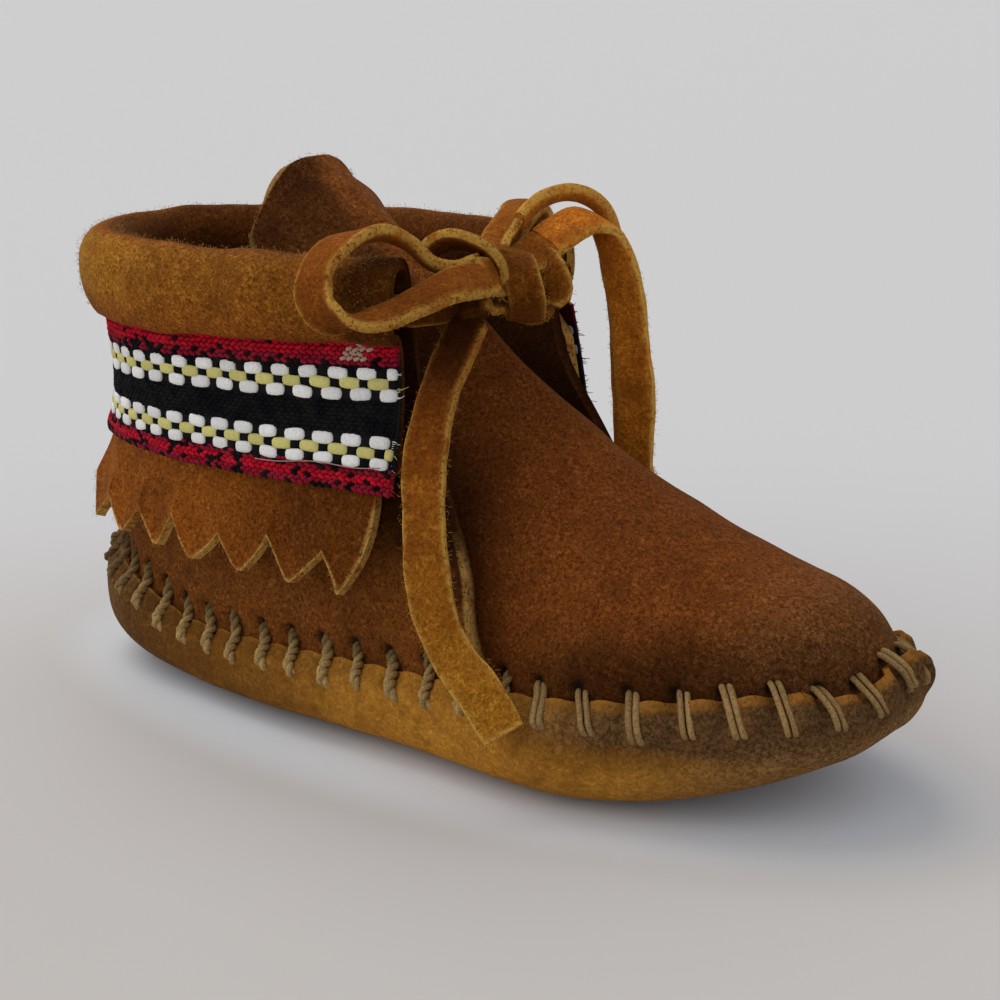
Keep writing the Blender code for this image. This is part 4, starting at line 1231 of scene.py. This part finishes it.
# Height and outward place of every point, over the roll and down the flap to the hem
body = resampled(CUFF_PROFILE, CUFF_STEP)
hem_share = np.linspace(0, 1, HEM_ROWS + 1)[None, 1:]
flap_out, flap_low = CUFF_PROFILE[-1]
heights, outs = (np.concatenate([np.tile(column, (len(share), 1)), rest + 0 * share], 1)
                 for column, rest in (
                     (body[:, 1], flap_low + (hem - flap_low) * hem_share),
                     (body[:, 0], flap_out + (HEM_OUT - flap_out) * hem_share**HEM_FLARE)))
outs = outs - HEEL_SLIM * (1 - np.abs(share)) ** 1.5 * step_up(outs, 2.5, 6.0) * (heights > 49)
outs = outs - heel_press(share, heights)
outs = outs + step_up(heights, 34.0, 23.0) * (
    0.15 * np.cos(2 * np.pi * phase) + 0.3 * np.sin(share * 17.0)
    + 0.15 * np.sin(share * 41.0 + 1.0))
# The left roll is drawn up shorter than the flap below it
drawn_up = LEFT_SHORT * (share > 0) * step_up(heights, 46.0, 52.0) * share**2
hem_part = hem_cut * step_up(heights, 36.0, 28.0)
arcs = (share * (flap_end(heights) - drawn_up - hem_part)
        + np.sign(share) * (hem_part - corner_cut(heights)) * np.abs(share) ** CORNER_NEAR)
levels = sagged(arcs, heights)
flap = wall(arcs, levels, outs)
facing = grid_normals(flap, turned=True)
swing = unit(np.stack([np.gradient(outs, axis=1), np.gradient(heights, axis=1)], -1))
back = wall(arcs, levels - CUFF_WALL * swing[..., 0], outs + CUFF_WALL * swing[..., 1])
bend = lumps(flap, *FLAP_WAVE)[..., None] * facing
planned, flap = flap, creased(flap, facing, CUFF_CREASES) + bend
back = back + (flap - planned)
# Pale cut edges; wear and painted light on top of the roll, most at the heel; painted shade
# below it, round the throat and on the flap, where the flap's own tone also darkens forwards
x = flap[..., 0]
near_front = step_up(np.abs(share) + 0 * levels, 0.993, 1.0)
hem_line = np.arange(flap.shape[1]) == flap.shape[1] - 1
forward = step_up(x, 20, 62)
cuff_marks = {
    "edge": np.maximum(hem_line * 1.0, 0.8 * near_front
                       * np.maximum(step_up(levels, 36, 34), share > 0)),
    "wear_and_light": (step_up(levels, 50.0, 55.0) * (0.30 + 0.70 * (1 - step_up(x, 4, 44)))
             * step_up(outs, 3.0, 5.2)),
    "dark": np.maximum.reduce([0.72 * (1 - step_up(outs, 1.4, 3.6)) * (levels > 50.0),
                               0.8 * step_up(x, 55.5, 60.0) * step_up(levels, 49.0, 51.0),
                               0.9 * near_front * step_up(levels, 33.0, 36.0) * (share < 0),
                               0.66 * forward * (1 - step_up(levels, 36.0, 50.0)),
                               0.18 * forward * step_up(levels, 50.0, 54.0)]),
}
# Its back: painted shade and the flesh side's own darker tone
own_piece(shell("cuff_fold", flap, back, cuff_finish, cuff_marks,
                inner_marks={"dark": 0.7, "wear_and_light": 0.0}), "cuff")
below = levels[0] < BRAID_BOTTOM
tufts = [spread(flap[:, -1], unit(flap[:, -1] - flap[:, -3]), HEM_FIBRES_EACH_MM)]
tufts += [spread(flap[end][below], unit(flap[end] - flap[inside])[below])
          for end, inside in ((0, 3), (-1, -4))]
rolled = np.argwhere((heights > ROLL_FROM) & (outs > ROLL_OUTSIDE))
picked = tuple(rolled[chance.integers(0, len(rolled), ROLL_FIBRES)].T)
tufts.append([flap[picked], facing[picked]])
napped("cuff_nap", tufts, cuff_finish, "cuff", CUFF_FIBRE)

# The stretch of the thong inside the roll comes out at the roll's front ends
THONG_OUT = 2.4
THONG_HEIGHT = 54.4
THONG_WIDE = 3.6
THONG_THICK = 1.6
THONG_RIGHT_END = ((66.8, -8.2, 55.0), (66.8, -13.0, 54.6), (65.4, -17.4, 54.4))
THONG_LEFT_END = ((62.0, 16.4, 54.4), (63.6, 11.5, 54.6), (64.8, 5.4, 55.0))
ring = wall(np.linspace(-collar_length, collar_length, 33), COLLAR_HEIGHT, THONG_OUT)
ring[:, 2] = THONG_HEIGHT
# The strip is painted dark as shade, lying inside the roll
strip = ribbon_parts([*THONG_RIGHT_END, *ring.tolist(), *THONG_LEFT_END],
                     (0.0, 0.0, 1.0), THONG_WIDE, THONG_THICK, ((0, 0.8),))
own_piece(joined("thong_drawstring", [strip], lace_finish), "lace_drawstring")


# ---- Braid ----
# Cotton band woven in red, white, yellow and black, sewn flat round the cuff below the roll.
# A thin ground carries rows of raised floats; the cut ends are frayed.
BRAID_FIT = 0.45
BRAID_GROUND = 0.35
BRAID_LIFT = 0.34
BRAID_TALL = BRAID_TOP - BRAID_BOTTOM
BRAID_EDGES = (-0.03, 1.06)
BRAID_GRID = (260, 24)
DYES = {
    "red": (0.52, 0.006, 0.022),
    "dark_red": (0.27, 0.008, 0.024),
    "white": (0.86, 0.85, 0.80),
    "yellow": (0.66, 0.60, 0.20),
    "black": (0.004, 0.0045, 0.006),
}
# The ground shows between the floats: red along the borders, dark in the middle
GROUND_RED = (0.10, 0.006, 0.010)
GROUND_DARK = (0.008, 0.008, 0.010)
GROUND_BORDERS = (0.14, 0.9)
YARN_GRIME = (0.20, 0.15, 0.10)
BLOCK_PITCH = 3.97
# Rows of blocks: share of the band's height, shift along it, length, height, dye
BLOCK_ROWS = (
    (0.196, 0.00, 2.65, 1.50, "white"), (0.200, 2.00, 1.35, 1.20, "black"),
    (0.270, 2.42, 2.75, 1.42, "yellow"), (0.270, 0.50, 1.30, 1.05, "black"),
    (0.352, 0.93, 2.80, 1.55, "white"), (0.690, 2.00, 2.80, 1.55, "white"),
    (0.772, 3.78, 2.70, 1.36, "yellow"), (0.772, 1.92, 1.35, 0.95, "black"),
    (0.847, 1.86, 2.60, 1.45, "white"), (0.845, 3.85, 1.35, 1.10, "black"),
)
BLOCK_DEEP = 0.85
BLACK_DEEP = 0.5
# Rows of fine floats: share of the height, tilt in degrees, dye and the share that is black
FINE_PITCH = 0.95
FINE_SIZE = (1.02, 0.52, 0.50)
FINE_ROWS = (
    (-0.012, -24, "red", 0.03), (0.022, 22, "red", 0.05), (0.056, -24, "red", 0.10),
    (0.090, 22, "dark_red", 0.22), (0.124, -24, "dark_red", 0.42),
    *((height, 0, "black", 1.0)
      for height in (0.158, 0.408, 0.440, 0.472, 0.504, 0.536, 0.568, 0.600, 0.634)),
    (0.888, 0, "dark_red", 0.7), (0.920, -24, "dark_red", 0.40), (0.954, 22, "red", 0.22),
    (0.988, -24, "red", 0.22), (1.022, 22, "dark_red", 0.25), (1.052, -24, "dark_red", 0.35),
)
# A spot of the upper border where the red is rubbed off: its place, half length and depth
WORN_SPOT = (-0.925, 0.028, 0.10)
WORN_DYE = (0.50, 0.30, 0.22)
# Weaving is never quite true: how far floats stray down the band, tilt, stand out and stretch
STRAY_DOWN = 0.0025
STRAY_TILT = 3
STRAY_OUT = 0.03
STRAY_LONG = 0.04
SHORTEST_FLOAT = 0.4
FRAYS_EACH_END = 70
FRAY_LONG = (0.4, 1.2)
FRAY_THICK = (0.10, 0.03)


def band(share, down, out=0.0):
    """Points on the band, from its right end (-1) to its left (1), top (0) to bottom (1)."""
    share, down, out = np.broadcast_arrays(np.asarray(share, float), down, out)
    height = BRAID_TOP - BRAID_TALL * down
    base = np.interp(height, [p[1] for p in CUFF_PROFILE[:-5:-1]],
                     [p[0] for p in CUFF_PROFILE[:-5:-1]])
    arc = share * flap_end(height)
    return wall(arc, sagged(arc, height), base + BRAID_FIT + out - heel_press(share, height))


def band_frame(share, down, out):
    """Points on the band with the directions along it and out of it."""
    spot = band(share, down, out)
    along = unit(band(share + 0.002, down, out) - band(share - 0.002, down, out))
    fall = unit(band(share, down + 0.01, out) - band(share, down - 0.01, out))
    facing = unit(np.cross(along, fall))
    away = spot[..., :2] - (COLLAR_CENTRE, 0.0)
    if np.mean(np.sum(facing[..., :2] * away, axis=-1)) < 0:
        facing = -facing
    return spot + facing * lumps(spot, *FLAP_WAVE)[..., None], along, facing


# Tree of rounded blocks, one on each point, turned and sized by the point's own values
block_tree, given = new_tree("blocks", "Cuts")
cube = add_node(block_tree, "GeometryNodeMeshCube", Size=(2.0, 2.0, 2.0))
for socket in cube.inputs[1:4]:
    feed(block_tree, socket, given["Cuts"])
corner = block_tree.nodes.new("GeometryNodeInputPosition").outputs[0]


def vector_math(operation, first, second):
    node = add_node(block_tree, "ShaderNodeVectorMath", operation=operation)
    for socket, value in zip([s for s in node.inputs if s.enabled], (first, second)):
        feed(block_tree, socket, value)
    return next(s for s in node.outputs if s.enabled)


square = vector_math("MULTIPLY", corner, corner)
power = times(block_tree, vector_math("DOT_PRODUCT", square, square), -0.25, "POWER")
block = add_node(block_tree, "GeometryNodeSetPosition", Geometry=cube.outputs[0],
                 Position=vector_math("SCALE", corner, power))
turned = add_node(block_tree, "FunctionNodeAlignRotationToVector", axis="X",
                  Vector=stored(block_tree, "along"))
turned = add_node(block_tree, "FunctionNodeAlignRotationToVector", axis="Z", pivot_axis="X",
                  Rotation=turned.outputs[0], Vector=stored(block_tree, "out"))
blocks = add_node(block_tree, "GeometryNodeInstanceOnPoints", Points=given["Geometry"],
                  Instance=block.outputs[0], Rotation=turned.outputs[0],
                  Scale=stored(block_tree, "size"))
finished(block_tree, blocks.outputs[0], given["Finish"])


def cotton(name, shade=0.82):
    """Matt spun yarn; each point of the mesh carries its own dye."""
    made, tree, shader, at = new_finish(name, 0.9, 0.06)
    dye = add_node(tree, "ShaderNodeAttribute", attribute_name="dye").outputs["Color"]
    fine = noise(tree, at, 0.25, 3.0, 0.6)
    dull = between(tree, noise(tree, at, 2.2), 0.35, 0.70)
    shade = mixed(tree, between(tree, fine, 0.30, 0.62), (shade, shade, shade), (1.0, 1.0, 1.0))
    base = mixed(tree, 1.0, dye, shade, "MULTIPLY")
    feed(tree, shader["Base Color"], mixed(tree, times(tree, dull, 0.04), base, YARN_GRIME))
    embossed(tree, shader, fine, 0.7, 0.06)
    return made


cotton_finish = cotton("braid_cotton")
chance = np.random.default_rng(7)
share = np.linspace(-1.004, 1.004, BRAID_GRID[0])[:, None]
down = np.linspace(*BRAID_EDGES, BRAID_GRID[1])[None, :]
face, along, facing = band_frame(share, down, BRAID_GROUND)
cloth = shell("braid_ground", face, face - facing * BRAID_GROUND, cotton_finish, {})
border = (down < GROUND_BORDERS[0]) | (down > GROUND_BORDERS[1])
dyes = np.where(border[0][:, None], (*GROUND_RED, 1.0), (*GROUND_DARK, 1.0))
layer = cloth.data.attributes.new("dye", "FLOAT_COLOR", "POINT")
layer.data.foreach_set("color", np.tile(dyes, (2 * len(share), 1)).astype(np.float32).ravel())
own_piece(cloth, "braid")


def row_places(down, pitch, shift, long):
    """Centres (as shares along the band) and lengths of a row of floats."""
    share = np.linspace(-1.0, 1.0, 1601)
    run = lengths_along(band(share, down, BRAID_LIFT))
    middle = np.arange(shift - pitch, run[-1] + pitch, pitch)
    start = np.maximum(middle - long / 2, 0.0)
    end = np.minimum(middle + long / 2, run[-1])
    kept = end - start > SHORTEST_FLOAT
    return np.interp((start + end)[kept] / 2, run, share), (end - start)[kept]


def add_row(rows, down, tilt, places, long, tall, deep, dyes):
    """A row of floats of these sizes and dyes, each a little out of true."""
    count = len(places)
    jitter = chance.normal(0, 1, (count, 4))
    spot, along, facing = band_frame(places, down + jitter[:, 0] * STRAY_DOWN, BRAID_LIFT)
    fall = np.cross(facing, along)
    turn = np.radians(tilt + jitter[:, 1] * STRAY_TILT)[:, None]
    rows["spot"].append(spot + facing * jitter[:, 2:3] * STRAY_OUT)
    rows["along"].append(along * np.cos(turn) + fall * np.sin(turn))
    rows["out"].append(facing)
    long = long / 2 * (1 + STRAY_LONG * jitter[:, 3])
    rows["size"].append(np.stack(np.broadcast_arrays(long, tall / 2, deep / 2), -1))
    rows["dye"].append(np.concatenate([dyes, np.ones((count, 1))], -1))


def weave(name, rows, cuts):
    """One piece of blocks, each cut into squares this many corners across, out of all rows."""
    rows = {key: np.concatenate(value) for key, value in rows.items()}
    points = start_mesh(name + "_points", place(rows["spot"]), along=rows["along"],
                        out=rows["out"], size=rows["size"] * MM, dye=rows["dye"])
    made = grown(name, points, block_tree, {"Finish": cotton_finish, "Cuts": cuts})
    own_piece(made, "braid")


rows = {key: [] for key in ("spot", "along", "out", "size", "dye")}
for down, shift, long, tall, dye in BLOCK_ROWS:
    places, lengths = row_places(down, BLOCK_PITCH, shift, long)
    tones = np.array(DYES[dye]) * chance.uniform(0.88, 1.06, (len(places), 1))
    deep = BLACK_DEEP if dye == "black" else BLOCK_DEEP
    add_row(rows, down, 0, places, lengths, tall, deep, tones)
weave("braid_blocks", rows, 4)
rows = {key: [] for key in rows}
for number, (down, tilt, dye, black) in enumerate(FINE_ROWS):
    shift = FINE_PITCH * 0.5 * (number % 2)
    places, lengths = row_places(down, FINE_PITCH, shift, FINE_SIZE[0])
    dark = chance.random(len(places)) < black * (1.15 - 0.85 * np.abs(places) ** 2)
    tones = np.where(dark[:, None], DYES["black"], DYES[dye])
    tones = tones * chance.uniform(0.7, 1.15, (len(places), 1))
    rubbed = (np.abs(places - WORN_SPOT[0]) < WORN_SPOT[1]) & (down < WORN_SPOT[2])
    tones = np.where(rubbed[:, None] & (chance.random((len(places), 1)) < 0.75), WORN_DYE, tones)
    add_row(rows, down, tilt, places, lengths, *FINE_SIZE[1:], tones)
weave("braid_floats", rows, 3)


def add_line(strands, points, radius, dye):
    """One more strand: its points, the radius at each and its dye, in one colour or several."""
    count = len(points)
    dyes = np.ones((count, 4))
    dyes[:, :3] = dye
    strands.append((np.asarray(points), np.broadcast_to(radius, count), dyes))


def spun(name, strands, finish, sides, node):
    """One piece of thread out of all the strands."""
    edges, start = [], 0
    for points, _, _ in strands:
        edges += [(start + k, start + k + 1) for k in range(len(points) - 1)]
        start += len(points)
    points, thick, dyes = (np.concatenate(column) for column in zip(*strands))
    lines = start_mesh(name + "_lines", place(points), edges, thick=thick * MM, dye=dyes)
    made = grown(name, lines, strand_tree, {"Finish": finish, "Sides": sides})
    own_piece(made, node)


# Frayed ends, and one loose end of thread along the lower red border
frays = []
row_dyes = [(row[0], row[2]) for row in FINE_ROWS] + [(row[0], row[4]) for row in BLOCK_ROWS]
for end in (-1, 1):
    for down in np.linspace(-0.01, 1.04, FRAYS_EACH_END):
        spot, along, facing = band_frame(np.array([end * 0.995]), np.array([down]), 0.3)
        _, dye = min(row_dyes, key=lambda row: abs(row[0] - down) + 0.02 * chance.random())
        reach = chance.uniform(*FRAY_LONG)
        wild = chance.normal(0, 0.3, 3)
        path = [spot[0] + end * along[0] * reach * u + (facing[0] * 0.1 + wild) * reach * u * u
                for u in np.linspace(0, 1, 5)]
        add_line(frays, path, np.linspace(*FRAY_THICK, 5), np.array(DYES[dye]) * 0.9 + 0.01)
u = np.linspace(0, 1, 40)
spot, along, facing = band_frame(-0.98 + 0.26 * u, 0.862 + 0.05 * u + 0.012 * np.sin(u * 9),
                                 0.85)
add_line(frays, spot + facing * (0.15 * np.sin(u * 7))[:, None], 0.07, (0.42, 0.28, 0.22))
spun("braid_frays", frays, cotton_finish, 4, "braid")


# ---- Whip stitching ----
# Heavy two-strand thread, sewn from the holes in the upper over the sole's edge and into its
# side. It lies in twisted pairs, and opens into two flat strands round the toe.
STRAND = 0.42
STRAND_GAP = 0.34
THREAD_STEP = 0.3
THREAD_TWIST = 3.0
THREAD_DYE = np.array((0.44, 0.285, 0.105))
THREAD_TOE = np.array((0.31, 0.185, 0.068))
THREAD_SOILED = np.array((0.17, 0.095, 0.040))
# How deep the thread starts inside a hole, how far it stands out of it and over the rim
HOLE_DEPTH = 1.3
HOLE_LIFT = 0.15
RIM_LIFT = 0.30
# Below the rim: shares of the drop, and how far the thread stands out at each
OVER_EDGE = ((0.35, 0.40), (0.75, 0.36), (1.0, 0.10))


def lifted(point, skin, lift):
    """The point of a skin nearest to a planned point, standing out by a lift."""
    spots, facing = skin
    k = int(np.sum((spots - point) ** 2, axis=1).argmin())
    return spots[k] + facing[k] * lift


sole_skin = (sole_skin.reshape(-1, 3), sole_facing.reshape(-1, 3))
strands = []
for number, (angle, hole, seam) in enumerate(zip(stitch_angles, hole_spots, seam_spots)):
    upper = quarter_skin if abs(angle) < QUARTER_END - 1 else vamp_skin
    run = unit(sole_side(angle - 0.5, 1.0) - sole_side(angle + 0.5, 1.0))
    drop = float(read(STITCH_LIE, "drop", abs(angle))) + 0.3 * math.sin(number * 2.3)
    tall = float(read(OUTLINE, "edge_height", abs(angle)) - ground(angle))
    rim = lifted(sole_side(leaned(angle, LEAN_AT_RIM), 1.0), sole_skin, 0.0)
    route = [lifted(hole, upper, -HOLE_DEPTH), lifted(hole, upper, HOLE_LIFT),
             rim * 0.55 + lifted(seam, upper, 0.0) * 0.45 + (0, 0, RIM_LIFT)]
    for part, lift in OVER_EDGE:
        at = leaned(angle, LEAN_AT_RIM + (LEAN_LOW - LEAN_AT_RIM) * part)
        route.append(lifted(sole_side(at, 1.0 - drop * part / tall), sole_skin, lift))
    last = sole_side(leaned(angle, LEAN_LOW), 1.0 - (drop + 0.5) / tall)
    route.append(lifted(last, sole_skin, -1.0))
    path = resampled(route, THREAD_STEP)
    # The pulled thread runs straight, seen from outside
    leaning = (path - path[0]) @ run
    path = path + np.outer(np.linspace(leaning[0], leaning[-1], len(path)) - leaning, run)
    along = unit(np.gradient(path, axis=0))
    side = unit(run - along * (along @ run)[:, None])
    face = np.cross(along, side)
    gone = np.arange(len(path)) * THREAD_STEP
    open_up = float(step_up(abs(angle), 106, 114))
    turn = ((1 - open_up) * (2 * math.pi * gone / THREAD_TWIST + number * 1.7))[:, None]
    soiled = 1 - step_up(abs(angle), 20, 55)
    tone = THREAD_DYE * (1 - soiled) + THREAD_SOILED * soiled
    tone = tone * (1 - open_up) + THREAD_TOE * open_up
    # Near the hole the thread is painted darker, as dirt and painted shade
    dirt_and_shade = (1 - 0.8 * open_up) * (1 - step_up(gone / gone[-1], 0.12, 0.55))
    radius = STRAND * (1 - 0.12 * open_up) * (1 + 0.10 * math.sin(number * 3.3))
    for half in (-1, 1):
        offset = (side * np.cos(turn) + face * np.sin(turn)) * half * (STRAND_GAP + 0.08 * open_up)
        shade = (1.0 + 0.12 * math.sin(number * 5.1 + half)) * (1 - 0.62 * dirt_and_shade)[:, None]
        add_line(strands, path + offset, radius, tone * shade)
spun("whip_stitches", strands, cotton("stitch_cotton", 0.5), 7, "sole")
